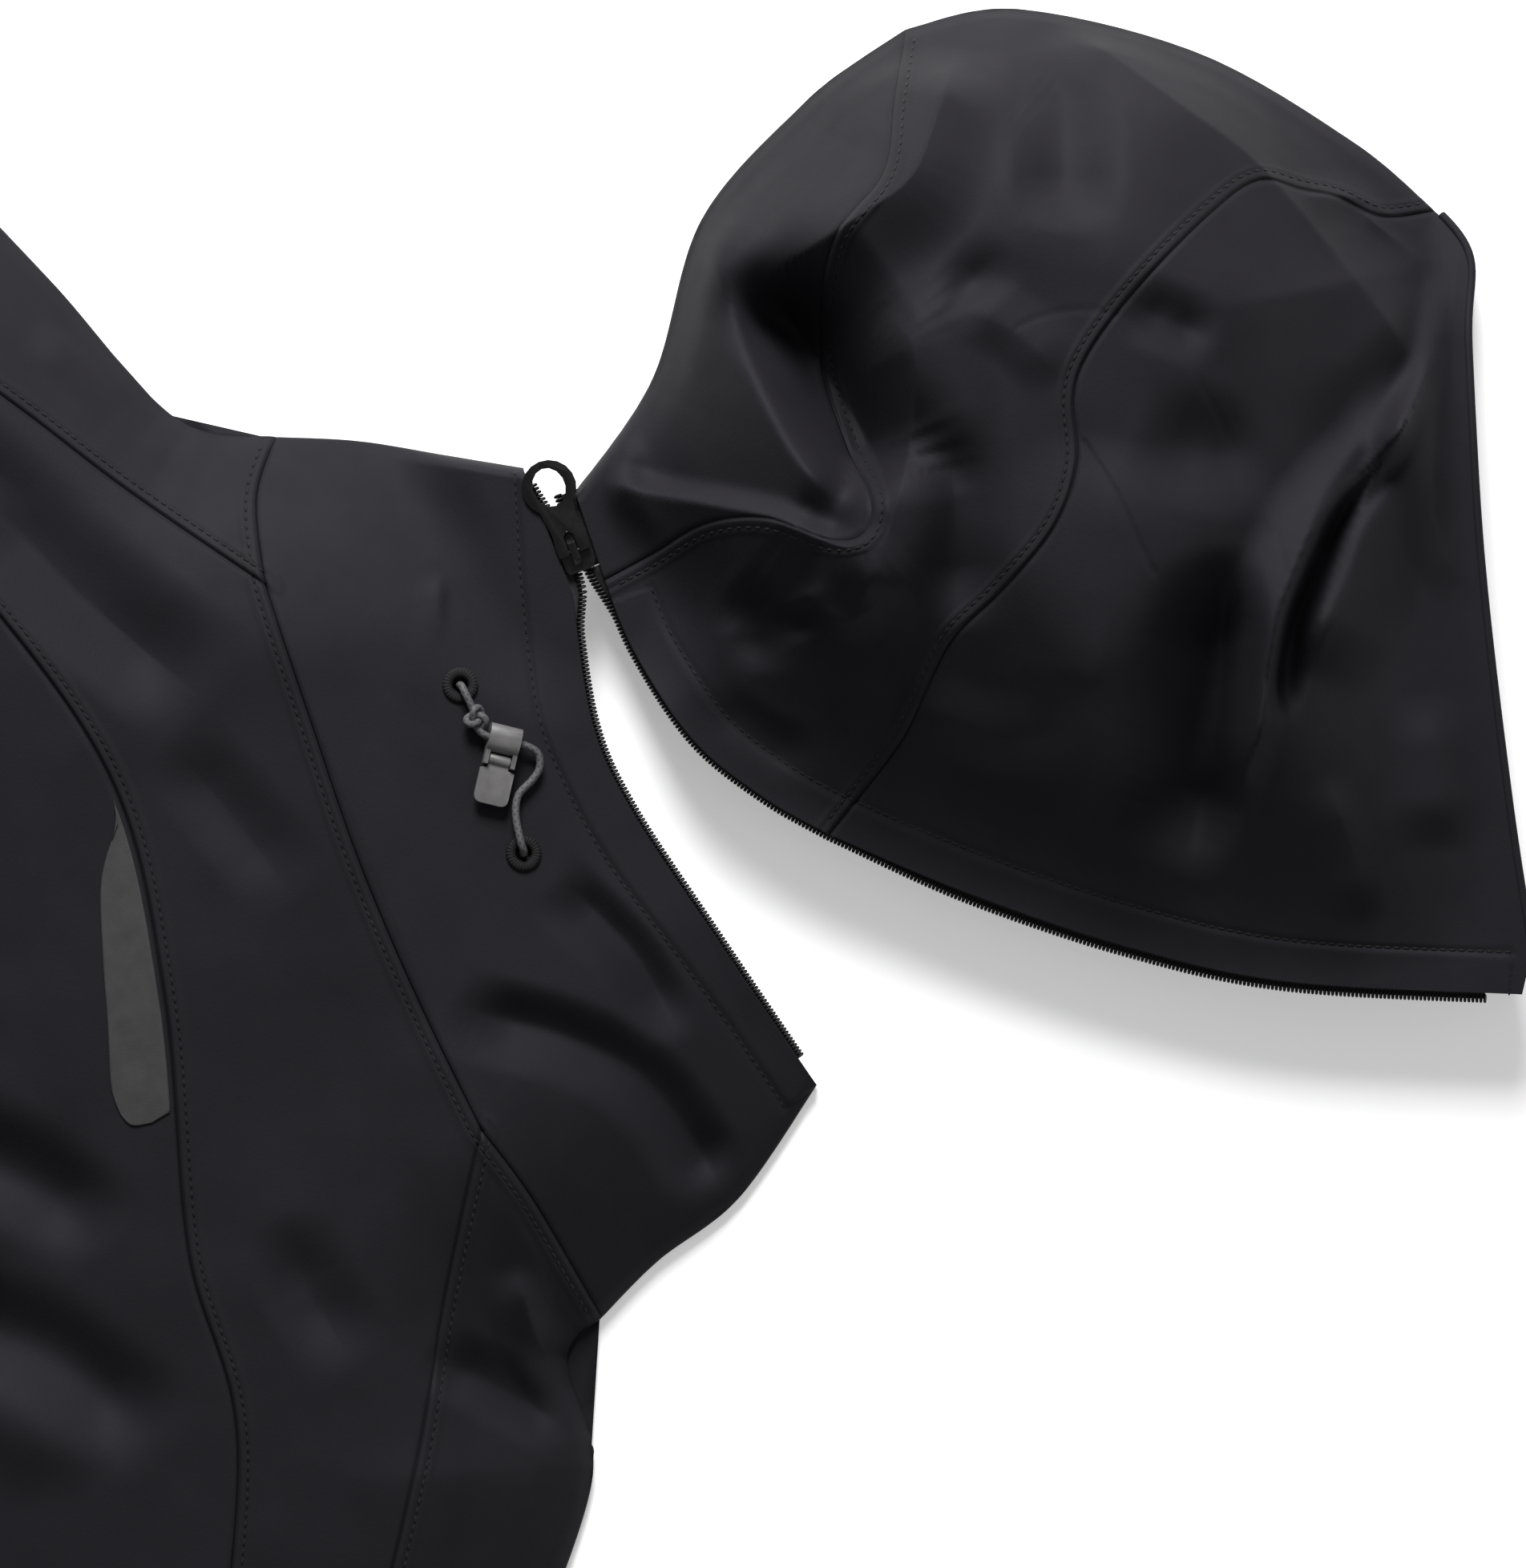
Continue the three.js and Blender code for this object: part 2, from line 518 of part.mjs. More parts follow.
// ---------- hood ----------
const hood = new THREE.Group();
jacket.add(hood);
add("hood_left_panel", sheet({
  low: crownNear,
  high: seamLeft,
  start: hoodFront,
  end: crownTip,
}, [10, 4], hoodZ, SHELL), shellCloth, hood);
add("hood_center_panel", sheet({
  low: zipNear,
  high: crownFar,
  start: seamLeft,
  end: seamRight,
}, [10, 10], hoodZ, SHELL), shellCloth, hood);
add("hood_right_panel", sheet({
  low: zipFar,
  high: faceEdge,
  start: seamRight,
  end: faceTip,
}, [8, 10], hoodZ, SHELL), shellCloth, hood);
add("hood_under_panel", sheet({
  low: chain(hoodFront, zipNear, zipFar),
  high: chain(crownTip, crownFar, faceEdge),
  start: crownNear,
  end: faceTip,
}, [10, 4], () => 0, UNDER), shellCloth, hood);

const faceBand = [[TRIM_GAP, -0.4], [BINDING, -0.4], [BINDING, SHELL + 0.4], [TRIM_GAP, SHELL + 0.4]];
add("hood_face_binding", carried(track(faceEdge, 0.05, 0.99, 16, hoodZ), faceBand), shellCloth, hood);

// ---------- zip tapes ----------
// One side of a zip: tape under the cloth and half of the chain beyond the cloth's edge.
const halfZip = [
  [-TAPE_UNDER, -TAPE_HALF], [FABRIC_BACK - CHAIN_OUT, -TAPE_HALF], [FABRIC_BACK - CHAIN_OUT, -CHAIN_HALF],
  [FABRIC_BACK - CHAIN_IN, -CHAIN_HALF], [FABRIC_BACK - CHAIN_IN, CHAIN_HALF],
  [FABRIC_BACK - CHAIN_OUT, CHAIN_HALF], [FABRIC_BACK - CHAIN_OUT, TAPE_HALF], [-TAPE_UNDER, TAPE_HALF],
];
const otherHalf = halfZip.map(([n, k]) => [-n, k]).reverse();
const underBody = (x, y) => bodyZ(x, y) - TAPE_DROP;
const underHood = (x, y) => hoodZ(x, y) - TAPE_DROP;
const SLIDER_END = SLIDER_AT[0] + SLIDER_LENGTH / 2;

add("collar_zip_tape", carried([
  [CLOSED_FROM - 6, 88 * tall, SHELF_Z - TAPE_DROP],
  ...track(collarEdge, 0.21, 0.94, 16, underBody),
], halfZip), zipTape);
add("hood_zip_closed_end", carried([
  [CLOSED_FROM, hoodRoot[1], SHELF_Z - TAPE_DROP],
  [SLIDER_END - 0.5, hoodRoot[1], SHELF_Z - TAPE_DROP],
], otherHalf), zipTape);
add("hood_zip_tape", carried([
  [SLIDER_END + 0.6, hoodRoot[1], SHELF_Z - TAPE_DROP],
  ...track(zipNear, 0.06, 1, 8, underHood),
  ...track(zipFar, 0.1, 0.93, 10, underHood),
], otherHalf), zipTape, hood);

for (const s of SIDES) {
  const profile = s === LEFT ? otherHalf : halfZip;
  add(`${side(s)}_front_zip_tape`, carried([
    [s * FABRIC_BACK, frontHem(s)[1] + 2, CHAIN_Z],
    [s * FABRIC_BACK, frontTop(s)[1] - 2, CHAIN_Z],
  ], profile), zipTape);
}

const pocketZips = {};
for (const s of SIDES) {
  const run = POCKET_LENGTH - 6;
  const half = FABRIC_BACK + TAPE_UNDER;
  const top = [s * Math.sin(rad(POCKET_LEAN)), -Math.cos(rad(POCKET_LEAN)), 0];
  pocketZips[s] = placed([...pocketMiddle(s), CHAIN_Z], top, [0, 0, -1]);
  const tape = cut(box(POCKET_LENGTH + 12, 2 * half, 2 * TAPE_HALF, [0, 0, 0]),
    box(run, 2 * CHAIN_IN, 4, [0, 0, 0]));
  const beads = [-1, 1].map((k) =>
    box(run, CHAIN_OUT - CHAIN_IN, 2 * CHAIN_HALF, [0, k * (CHAIN_IN + CHAIN_OUT) / 2, 0]));
  add(`${side(s)}_pocket_zip_tape`, joined(tape, ...beads), zipTape, pocketZips[s]);
  const bag = new THREE.Shape([[-96, -30], [-60, -60], [86, -60], [98, -30], [98, 30], [-96, 30]].map(
    ([x, y]) => new THREE.Vector2(x, s * y)));
  add(`${side(s)}_pocket_bag`, plate(bag, 1, -PLATE_TOP - 1.5), liningCloth, pocketZips[s]);
}

// ---------- sliders and pulls: X along the zip towards the pull, Z out of the cloth ----------
function sliderBody() {
  const half = SLIDER_LENGTH / 2;
  const outline = new THREE.Shape([
    [-half, -SLIDER_HALF + 0.9], [-half + 1.4, -SLIDER_HALF], [half - 5, -SLIDER_HALF],
    [half - 0.8, -SLIDER_HALF + 1.4], [half, -SLIDER_HALF + 2.6], [half, SLIDER_HALF - 2.6],
    [half - 0.8, SLIDER_HALF - 1.4], [half - 5, SLIDER_HALF], [-half + 1.4, SLIDER_HALF],
    [-half, SLIDER_HALF - 0.9],
  ].map(vec));
  const plates = [PLATE_TOP - PLATE, -PLATE_TOP].map((z) => plate(outline, PLATE, z));
  const web = box(SLIDER_LENGTH - 3, WEB, 2 * PLATE_TOP - 1, [-0.5, 0, 0]);
  const wall = SLIDER_HALF - FLANGE_IN;
  const tallness = PLATE_TOP - 0.5 - FLANGE_GAP;
  const flanges = [-1, 1].flatMap((y) => [-1, 1].map((z) => box(SLIDER_LENGTH - 7.5, wall, tallness,
    [-1.2, y * (SLIDER_HALF - wall / 2), z * (FLANGE_GAP + tallness / 2)])));
  const room = PIN_HEIGHT + PIN_R + 0.25;
  const arch = new THREE.Shape([
    [-BAIL_REACH, -0.4], [-BAIL_REACH, room - 0.8], [-BAIL_REACH + 1.6, room + BAIL_BAND],
    [BAIL_REACH - 1.6, room + BAIL_BAND], [BAIL_REACH, room - 0.8], [BAIL_REACH, -0.4],
    [BAIL_REACH - 1.3, -0.4], [BAIL_REACH - 1.3, room - 1], [BAIL_REACH - 2.1, room],
    [-BAIL_REACH + 2.1, room], [-BAIL_REACH + 1.3, room - 1], [-BAIL_REACH + 1.3, -0.4],
  ].map(vec));
  const bail = plate(arch, BAIL_WIDTH, -BAIL_WIDTH / 2).rotateX(Math.PI / 2).translate(0, 0, PLATE_TOP);
  return joined(...plates, web, ...flanges, bail);
}

// The pull turns about its own origin.
function pullTab() {
  const ring = PULL_LENGTH - RING_R;
  const outline = new THREE.Shape();
  outline.moveTo(-PIN_R, -5.2);
  outline.lineTo(3, -5.2);
  outline.quadraticCurveTo(9, -4.2, ring - 6.4, -5.7);
  outline.absarc(ring, 0, RING_R, Math.PI + 0.73, Math.PI - 0.73, false);
  outline.quadraticCurveTo(9, 4.2, 3, 5.2);
  outline.lineTo(-PIN_R, 5.2);
  outline.closePath();
  const hole = new THREE.Path();
  hole.absellipse(ring, 0, RING_HOLE[0], RING_HOLE[1], 0, 2 * Math.PI, true);
  outline.holes.push(hole);
  const slot = new THREE.Path([[0, -1.6], [5.2, -1.6], [6.6, 0], [5.2, 1.6], [0, 1.6]].map(vec));
  const blank = cut(plate(outline, PULL_THICK, -PULL_THICK / 2, 7),
    plate(new THREE.Shape(slot.getPoints()), 4, -2), box(2 * PIN_R, 3.2, 4, [0, 0, 0]));
  return joined(blank, rod(PIN_R, 5));
}

function zipRunner(name, group, at) {
  const runner = new THREE.Group();
  runner.position.set(at, 0, 0);
  group.add(runner);
  add(`${name}_slider`, sliderBody(), enamel, runner);
  add(`${name}_pull`, pullTab(), enamel, runner).position.set(0, 0, PIN_Z);
}

zipRunner("hood", placed([...SLIDER_AT, SHELF_Z - TAPE_DROP], [-1, 0, 0], [0, 0, 1]), 0);
zipRunner("front", placed([0, frontTop(LEFT)[1] - 12, CHAIN_Z], [0, -1, 0], [0, 0, -1]), 0);
for (const s of SIDES) zipRunner(`${side(s)}_pocket`, pocketZips[s], -POCKET_LENGTH / 2 + 12);

// ---------- collar adjuster ----------
const slope = LOFT * (1 - COLLAR_SHARE) / COLLAR_HEIGHT;
const lean = Math.atan(slope);
const collarPlane = new THREE.Group();
collarPlane.position.set(0, 0, EDGE + LOFT + SHELL / Math.cos(lean) - 0.05);
collarPlane.rotation.x = -lean;
jacket.add(collarPlane);
const onPlane = ([x, y]) => [x, y / Math.cos(lean)];

EYELETS.forEach(([x, y], i) => {
  const [px, py] = onPlane([x, y]);
  const profile = [[EYELET_HOLE, 0], [EYELET_R, 0], [EYELET_R - 0.5, EYELET_THICK],
    [EYELET_HOLE + 0.3, EYELET_THICK], [EYELET_HOLE, 0]];
  const ring = new THREE.LatheGeometry(profile.map(vec), 16).rotateX(Math.PI / 2);
  add(`${i ? "right" : "left"}_eyelet`, ring, rubber, collarPlane).position.set(px, py, TRIM_GAP);
});

// The cord lock: X from the body along the lever, Z out of the cloth.
const lock = new THREE.Group();
lock.position.set(-19, 52, TRIM_GAP);
lock.rotation.z = Math.atan2(-0.57, 0.82);
collarPlane.add(lock);
const CHANNEL_Z = 3.2; // cord's centre line above the lock's underside

function lockBody() {
  const { length, width, height, pinX, pinZ, pinR } = LOCK;
  const arch = new THREE.Shape();
  arch.moveTo(-length / 2, 0);
  arch.lineTo(length / 2, 0);
  arch.lineTo(length / 2, height - 3);
  arch.quadraticCurveTo(length / 2 - 0.6, height, 0, height);
  arch.quadraticCurveTo(-length / 2 + 0.6, height, -length / 2, height - 3);
  const block = cut(plate(arch, width, -width / 2).rotateX(Math.PI / 2),
    rod(CORD_R + CORD_ROOM, 2 * width).translate(0, 0, CHANNEL_Z));
  const ears = [-1, 1].map((k) => box(pinX + 1.8 - length / 2 + 1, 1.4, 2 * (pinZ - 0.9),
    [(pinX + 1.8 + length / 2 - 1) / 2, k * (width / 2 - 0.7), pinZ]));
  return joined(block, ...ears, rod(pinR, width - 1).translate(pinX, 0, pinZ));
}
function lockLever() {
  const { width, pinR, tab, tabHalf } = LOCK;
  const neck = width / 2 - 1.4 - HINGE_ROOM;
  const outline = new THREE.Shape();
  outline.moveTo(0, -neck);
  outline.lineTo(2.6, -neck);
  outline.lineTo(3.2, -tabHalf);
  outline.lineTo(tab - 2.5, -tabHalf);
  outline.quadraticCurveTo(tab, -tabHalf, tab, -tabHalf + 2.5);
  outline.lineTo(tab, tabHalf - 2.5);
  outline.quadraticCurveTo(tab, tabHalf, tab - 2.5, tabHalf);
  outline.lineTo(3.2, tabHalf);
  outline.lineTo(2.6, neck);
  outline.lineTo(0, neck);
  const outer = pinR + HINGE_ROOM + 0.65;
  const barrel = rod(outer, 2 * neck);
  return cut(joined(plate(outline, 1.5, -0.75, 4), barrel), rod(pinR + HINGE_ROOM, 2 * width));
}
add("cord_lock_body", lockBody(), plastic, lock);
add("cord_lock_lever", lockLever(), plastic, lock).position.set(LOCK.pinX, 0, LOCK.pinZ);

const across = [0.57, 0.82].map((k) => k * (LOCK.width / 2 + 1));
const [lockX, lockY, channel] = [lock.position.x, lock.position.y, TRIM_GAP + CHANNEL_Z];
const [holeL, holeR] = EYELETS.map(onPlane);
const inside = -SHELL - 0.9; // where the cord's ends stop under the cloth
const cordPath = new THREE.CatmullRomCurve3([
  [...holeL, inside], [...holeL, -0.6], [holeL[0] + 0.5, holeL[1], 1.9], [holeL[0] + 3.6, holeL[1], 3.3],
  [-31, 46.4, 3.3], [-26.5, 45.4, 3.4],
  [lockX - across[0], lockY - across[1], channel], [lockX, lockY, channel],
  [lockX + across[0], lockY + across[1], channel],
  [-11.5, 60.4, 3.0], [-7, 59.4, 2.6], [-4.2, 55.8, 2.4], [-1.4, 50, 2.4], [4, 46.8, 2.8],
  [holeR[0] - 4, holeR[1], 3.3], [holeR[0] - 0.5, holeR[1], 1.9], [...holeR, -0.6], [...holeR, inside],
].map((p) => new THREE.Vector3(...p)), false, "centripetal");
const cordSection = new THREE.Shape();
cordSection.absarc(0, 0, CORD_R, 0, 2 * Math.PI);
add("collar_drawcord", new THREE.ExtrudeGeometry(cordSection,
  { extrudePath: cordPath, steps: 48, curveSegments: 4 }), elastic, collarPlane);

// ---------- collar lining and hanger loop ----------
const LINING = 1;
const LINING_GAP = 1.2;
const LOOP_DROP = 9.6; // the hanger loop hangs this far off the lining
const LOOP_AT = 12; // nape up to the loop
const liningZ = (x, y) => bodyZ(x, y) - LINING_GAP - LINING;
add("collar_lining", sheet({
  low: spline([-84, 6], [-40, 4], [0, 3], [40, 3], [84, 6]),
  high: spline([-50, 66 * tall], [-15, 62 * tall], [15, 63 * tall], [74, 72 * tall]),
  start: line([-84, 6], [-50, 66 * tall]),
  end: line([84, 6], [74, 72 * tall]),
}, [12, 4], liningZ, LINING, 0), liningCloth);

const loopShape = new THREE.Shape([
  [-30, 0], [-30, -2], [-27, -LOOP_DROP], [27, -LOOP_DROP], [30, -2], [30, 0],
  [24, 0], [24, 1.4 - LOOP_DROP], [-24, 1.4 - LOOP_DROP], [-24, 0],
].map(vec));
const loop = plate(loopShape, 8, -4).rotateX(Math.PI / 2).rotateX(-lean);
loop.translate(0, LOOP_AT, liningZ(0, LOOP_AT) - TRIM_GAP);
add("hanger_loop", loop, zipTape);

// ---------- reflective patch on the back panel, just under the yoke seam ----------
const onBack = (x, y) => bodyZ(x, y) + SHELL + TRIM_GAP;
add("reflective_patch", sheet({
  low: spline([-27, -80], [8, -92], [46, -102]),
  high: spline([-40, -69], [0, -77], [53, -94]),
  start: line([-27, -80], [-40, -69]),
  end: line([46, -102], [53, -94]),
}, [8, 1], onBack, PATCH_THICK, 0), reflective);

// ---------- cuff tabs: sewn at the outer end, peeled from the inner one ----------
for (const s of SIDES) {
  const [ux, uy] = [s * Math.cos(rad(SLEEVE_ANGLE)), -Math.sin(rad(SLEEVE_ANGLE))]; // down the sleeve
  const [cx, cy] = [-s * Math.cos(rad(87.5 - SLEEVE_ANGLE)), -Math.sin(rad(87.5 - SLEEVE_ANGLE))];
  const at = (a, c) => [cuffOuter(s)[0] - ux * a + cx * c, cuffOuter(s)[1] - uy * a + cy * c];
  const [low, high] = [TAB_UP - TAB_WIDTH / 2, TAB_UP + TAB_WIDTH / 2];
  const [from, to] = [TAB_FROM, TAB_FROM + TAB_LENGTH];
  const tab = sheet({
    low: line(at(low, from), at(low, to)),
    high: line(at(high, from), at(high, to)),
    start: line(at(low, from), at(high, from)),
    end: line(at(low, to), at(high, to)),
  }, [12, 2], (x, y) => bodyZ(x, y) + SHELL + 2 * TRIM_GAP, TAB_THICK, 0);
  add(`${side(s)}_cuff_tab`, tab, rubber);
}

// ---------- origin at the bottom centre ----------
const bounds = new THREE.Box3().setFromObject(jacket, true);
const middle = bounds.getCenter(new THREE.Vector3());
jacket.position.set(-middle.x, -middle.y, -bounds.min.z);
const part = new THREE.Group();
part.add(jacket);

export default part;
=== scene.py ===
"""Hardshell jacket, laid face down with its hood half unzipped and spread beside it.

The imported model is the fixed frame. Every piece here is cloth, cord or trim worked out with numpy
around it. Outlines are drawn in millimetres round the nape, the middle of the back neck seam, and
become metres in the frame's own place when a mesh is made.
"""

import json
import logging
import math
from dataclasses import dataclass, field
from enum import Enum
from typing import Callable, Sequence

import bmesh
import bpy
import numpy as np
from mathutils import Matrix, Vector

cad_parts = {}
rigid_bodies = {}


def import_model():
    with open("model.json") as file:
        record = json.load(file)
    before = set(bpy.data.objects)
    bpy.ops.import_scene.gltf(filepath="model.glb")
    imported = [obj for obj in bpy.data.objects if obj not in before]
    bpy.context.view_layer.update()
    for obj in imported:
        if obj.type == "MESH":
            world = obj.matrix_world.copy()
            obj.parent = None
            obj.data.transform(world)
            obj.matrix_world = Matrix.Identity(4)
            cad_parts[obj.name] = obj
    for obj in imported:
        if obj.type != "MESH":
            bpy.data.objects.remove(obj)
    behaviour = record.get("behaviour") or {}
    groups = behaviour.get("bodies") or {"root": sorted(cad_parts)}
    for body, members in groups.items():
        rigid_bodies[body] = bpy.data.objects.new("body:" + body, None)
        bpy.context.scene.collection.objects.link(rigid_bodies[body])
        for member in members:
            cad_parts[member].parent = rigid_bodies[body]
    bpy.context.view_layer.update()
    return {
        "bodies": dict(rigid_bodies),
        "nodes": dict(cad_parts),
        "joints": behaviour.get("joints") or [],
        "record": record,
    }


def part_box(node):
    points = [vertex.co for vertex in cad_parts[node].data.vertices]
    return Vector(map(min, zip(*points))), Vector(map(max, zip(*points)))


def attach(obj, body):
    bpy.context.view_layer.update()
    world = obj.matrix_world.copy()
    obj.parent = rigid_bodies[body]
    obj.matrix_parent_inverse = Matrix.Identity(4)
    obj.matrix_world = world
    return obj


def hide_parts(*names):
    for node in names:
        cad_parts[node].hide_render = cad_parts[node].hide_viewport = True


logging.basicConfig(level=logging.INFO, format="%(message)s")
log = logging.getLogger("jacket")

MM = 0.001
Array = np.ndarray
Point = tuple[float, float]
LEFT, RIGHT = -1, 1
SIDES = (LEFT, RIGHT)


def side_name(side: int) -> str:
    """The word that names a side's pieces."""
    return "left" if side == LEFT else "right"


# ---------------------------------------------------------------- curves and numbers
def smooth(t: Array) -> Array:
    """Eases from 0 to 1 with level ends: three t squared less two t cubed."""
    t = np.clip(t, 0.0, 1.0)
    return t * t * (3.0 - 2.0 * t)


def mix(a: Array, b: Array, t: Array) -> Array:
    """Straight from a to b as t goes from 0 to 1."""
    return a + (b - a) * t


def lift(distance: Array, reach: float) -> Array:
    """Cloth rising from a folded edge: one less the square of what is left of the reach."""
    return 1.0 - (1.0 - np.minimum(distance / reach, 1.0)) ** 2


def spline(*points: Sequence[float], steps: int = 20) -> Array:
    """A Catmull-Rom curve through the points, end points used twice.

    Args:
        points: what the curve goes through, in two or three dimensions.
        steps: pieces between one point and the next.
    Returns:
        The curve as an array of points.
    """
    p = np.asarray(points, float)
    n = len(p) - 1
    t = np.linspace(0.0, n, n * steps + 1)
    i = np.minimum(t.astype(int), n - 1)
    w = (t - i)[:, None]
    a, b, c, d = p[np.maximum(i - 1, 0)], p[i], p[i + 1], p[np.minimum(i + 2, n)]
    v0, v1 = (c - a) / 2, (d - b) / 2
    return (2 * b - 2 * c + v0 + v1) * w**3 + (3 * c - 3 * b - 2 * v0 - v1) * w**2 + v0 * w + b


def line(a: Point, b: Point) -> Array:
    """A straight line as an array of points."""
    return mix(np.asarray(a, float), np.asarray(b, float), np.linspace(0, 1, 9)[:, None])


def chain(*curves: Array) -> Array:
    """Several curves end to end as one."""
    return np.concatenate([curves[0]] + [c[1:] for c in curves[1:]])


def lengths(curve: Array) -> Array:
    """Length along the curve at each of its points."""
    return np.concatenate([[0.0], np.cumsum(np.linalg.norm(np.diff(curve, axis=0), axis=1))])


def at(curve: Array, share: Array) -> Array:
    """Points at shares of a curve's own length."""
    run = lengths(curve)
    where = np.asarray(share, float) * run[-1]
    return np.stack([np.interp(where, run, curve[:, k]) for k in range(curve.shape[1])], -1)


def evenly(curve: Array, step: float) -> Array:
    """The curve again, with points a step apart."""
    count = max(2, int(round(lengths(curve)[-1] / step)) + 1)
    return at(curve, np.linspace(0, 1, count))


def part_of(curve: Array, start: float, end: float, step: float = 2.0) -> Array:
    """The stretch of a curve between two shares of its length."""
    count = max(2, int(abs(end - start) * lengths(curve)[-1] / step) + 1)
    return at(curve, np.linspace(start, end, count))


def sideways(curve: Array) -> Array:
    """Unit vectors to the left of a flat curve at each of its points."""
    run = np.gradient(curve[:, :2], axis=0)
    run /= np.linalg.norm(run, axis=1, keepdims=True)
    return np.stack([-run[:, 1], run[:, 0]], 1)


def beside(curve: Array, off: float) -> Array:
    """The curve moved to its own left by a distance."""
    return curve + sideways(curve) * off


def nearest(x: Array, y: Array, path: Array) -> tuple[Array, Array, Array]:
    """Where flat points stand beside a path, by the foot of each point on each straight piece.

    Args:
        x: first coordinates.
        y: second coordinates, of the same shape.
        path: the path's points.
    Returns:
        The distance, the side (1 to the left, -1 to the right) and the length along the path.
    """
    points = np.stack([np.ravel(x), np.ravel(y)], 1)
    start, step = path[:-1, :2], np.diff(path[:, :2], axis=0)
    long = np.linalg.norm(step, axis=1)
    before = lengths(path[:, :2])[:-1]
    found = np.empty((3, len(points)))
    for first in range(0, len(points), 20000):
        rel = points[first:first + 20000, None] - start
        t = np.clip((rel * step).sum(2) / long**2, 0, 1)
        off = np.linalg.norm(rel - t[..., None] * step, axis=2)
        k = off.argmin(1)
        row = np.arange(len(k))
        turn = step[k, 0] * rel[row, k, 1] - step[k, 1] * rel[row, k, 0]
        found[:, first:first + 20000] = off[row, k], np.where(turn < 0, -1.0, 1.0), before[k] + t[row, k] * long[k]
    return tuple(f.reshape(np.shape(x)) for f in found)


def distance(x: Array, y: Array, *paths: Array) -> Array:
    """The least distance to any of the paths."""
    return np.minimum.reduce([nearest(x, y, p)[0] for p in paths])


def soft_distance(x: Array, y: Array, room: float, *paths: Array) -> Array:
    """The least distance, rounded over where two paths are equally near.

    It is -room times the logarithm of the sum of exp(-distance / room), less what that sum adds when
    only one path is near, which is nothing.
    """
    off = np.stack([nearest(x, y, p)[0] for p in paths])
    least = off.min(0)
    return np.maximum(least - room * np.log(np.exp(-(off - least) / room).sum(0)), 0.0)


def ripple(x: Array, y: Array, size: float, seed: int) -> Array:
    """Gentle unevenness between -1 and 1: a sum of sine waves in seeded directions.

    Args:
        x: first coordinates in millimetres.
        y: second coordinates.
        size: the usual width of a rise.
        seed: which pattern.
    Returns:
        The unevenness at each point.
    """
    rng = np.random.default_rng(seed)
    total = np.zeros(np.shape(x))
    for _ in range(7):
        turn, phase, stretch = rng.uniform(0, math.pi), rng.uniform(0, 2 * math.pi), rng.uniform(0.6, 1.7)
        bend = 0.6 * np.sin((x * math.sin(turn) - y * math.cos(turn)) / (size * 1.7) + phase)
        total += np.sin((x * math.cos(turn) + y * math.sin(turn)) * stretch * math.pi / size + phase + bend)
    return total / 4.0


# ---------------------------------------------------------------- how the cloth lies
@dataclass(frozen=True)
class Fold:
    """A ridge, or with a negative height a valley, along a path.

    Across the path the cloth falls from the full height at the line to nothing at the reach on each
    side: partly as an eased slope, partly as a pointed crest, in the share that sharp gives. It dies
    away over the taper at each end.
    """

    path: tuple[Point, ...]
    height: float
    left: float
    right: float
    sharp: float = 0.4
    taper: float = 25.0

    def rise(self, x: Array, y: Array) -> Array:
        """The height that this fold adds at each point."""
        curve = spline(*self.path, steps=5)
        low, high = curve.min(0) - max(self.left, self.right), curve.max(0) + max(self.left, self.right)
        near = (x > low[0]) & (x < high[0]) & (y > low[1]) & (y < high[1])
        out = np.zeros(np.shape(x))
        if near.any():
            off, side, run = nearest(x[near], y[near], curve)
            t = np.clip(1 - off / np.where(side > 0, self.left, self.right), 0, 1)
            ends = smooth(run / self.taper) * smooth((lengths(curve)[-1] - run) / self.taper)
            out[near] = self.height * mix(smooth(t), t**1.7, self.sharp) * ends
        return out


@dataclass(frozen=True)
class Seam:
    """A sewn seam: a groove, a slightly raised band where the allowance lies, and a row of stitches.

    The band and the stitches lie to the left of the path, or to its right where stitched is -1.
    """

    path: Array
    stitched: int = 1
    offset: float = 3.2
    groove: float = 0.7
    band: float = 0.45

    def relief(self, x: Array, y: Array) -> Array:
        """Groove less a bell of its depth, band added up to just past the stitches."""
        off, side, _ = nearest(x, y, evenly(self.path, 4.0))
        toward = off * side * self.stitched
        raised = self.band * smooth(toward / 1.2) * (1 - smooth((toward - self.offset - 1.0) / 1.6))
        channel = 0.3 * np.exp(-((toward - self.offset) / 0.8) ** 2)
        return raised - channel - self.groove * np.exp(-((off / 0.75) ** 2))

    def stitch_line(self) -> Array:
        """The path that the stitches follow, clear of the seam's ends."""
        return beside(part_of(self.path, 0.012, 0.988), self.offset * self.stitched)


@dataclass(frozen=True)
class Topstitch:
    """A row of stitches that holds a turned edge down, and the shallow channel it pulls in."""

    path: Array
    edge_side: int = 1
    hem: float = 0.7

    def relief(self, x: Array, y: Array) -> Array:
        """The hem stands a little proud on the edge's side; the channel is a bell along the row."""
        off, side, run = nearest(x, y, evenly(self.path, 4.0))
        inside = (run > 0.5) & (run < lengths(self.path)[-1] - 0.5)
        edge = self.hem * smooth(off * side * self.edge_side / 2.5) * inside
        return edge - 0.45 * np.exp(-((off / 0.9) ** 2))

    def stitch_line(self) -> Array:
        """The path that the stitches follow."""
        return evenly(self.path, 2.0)


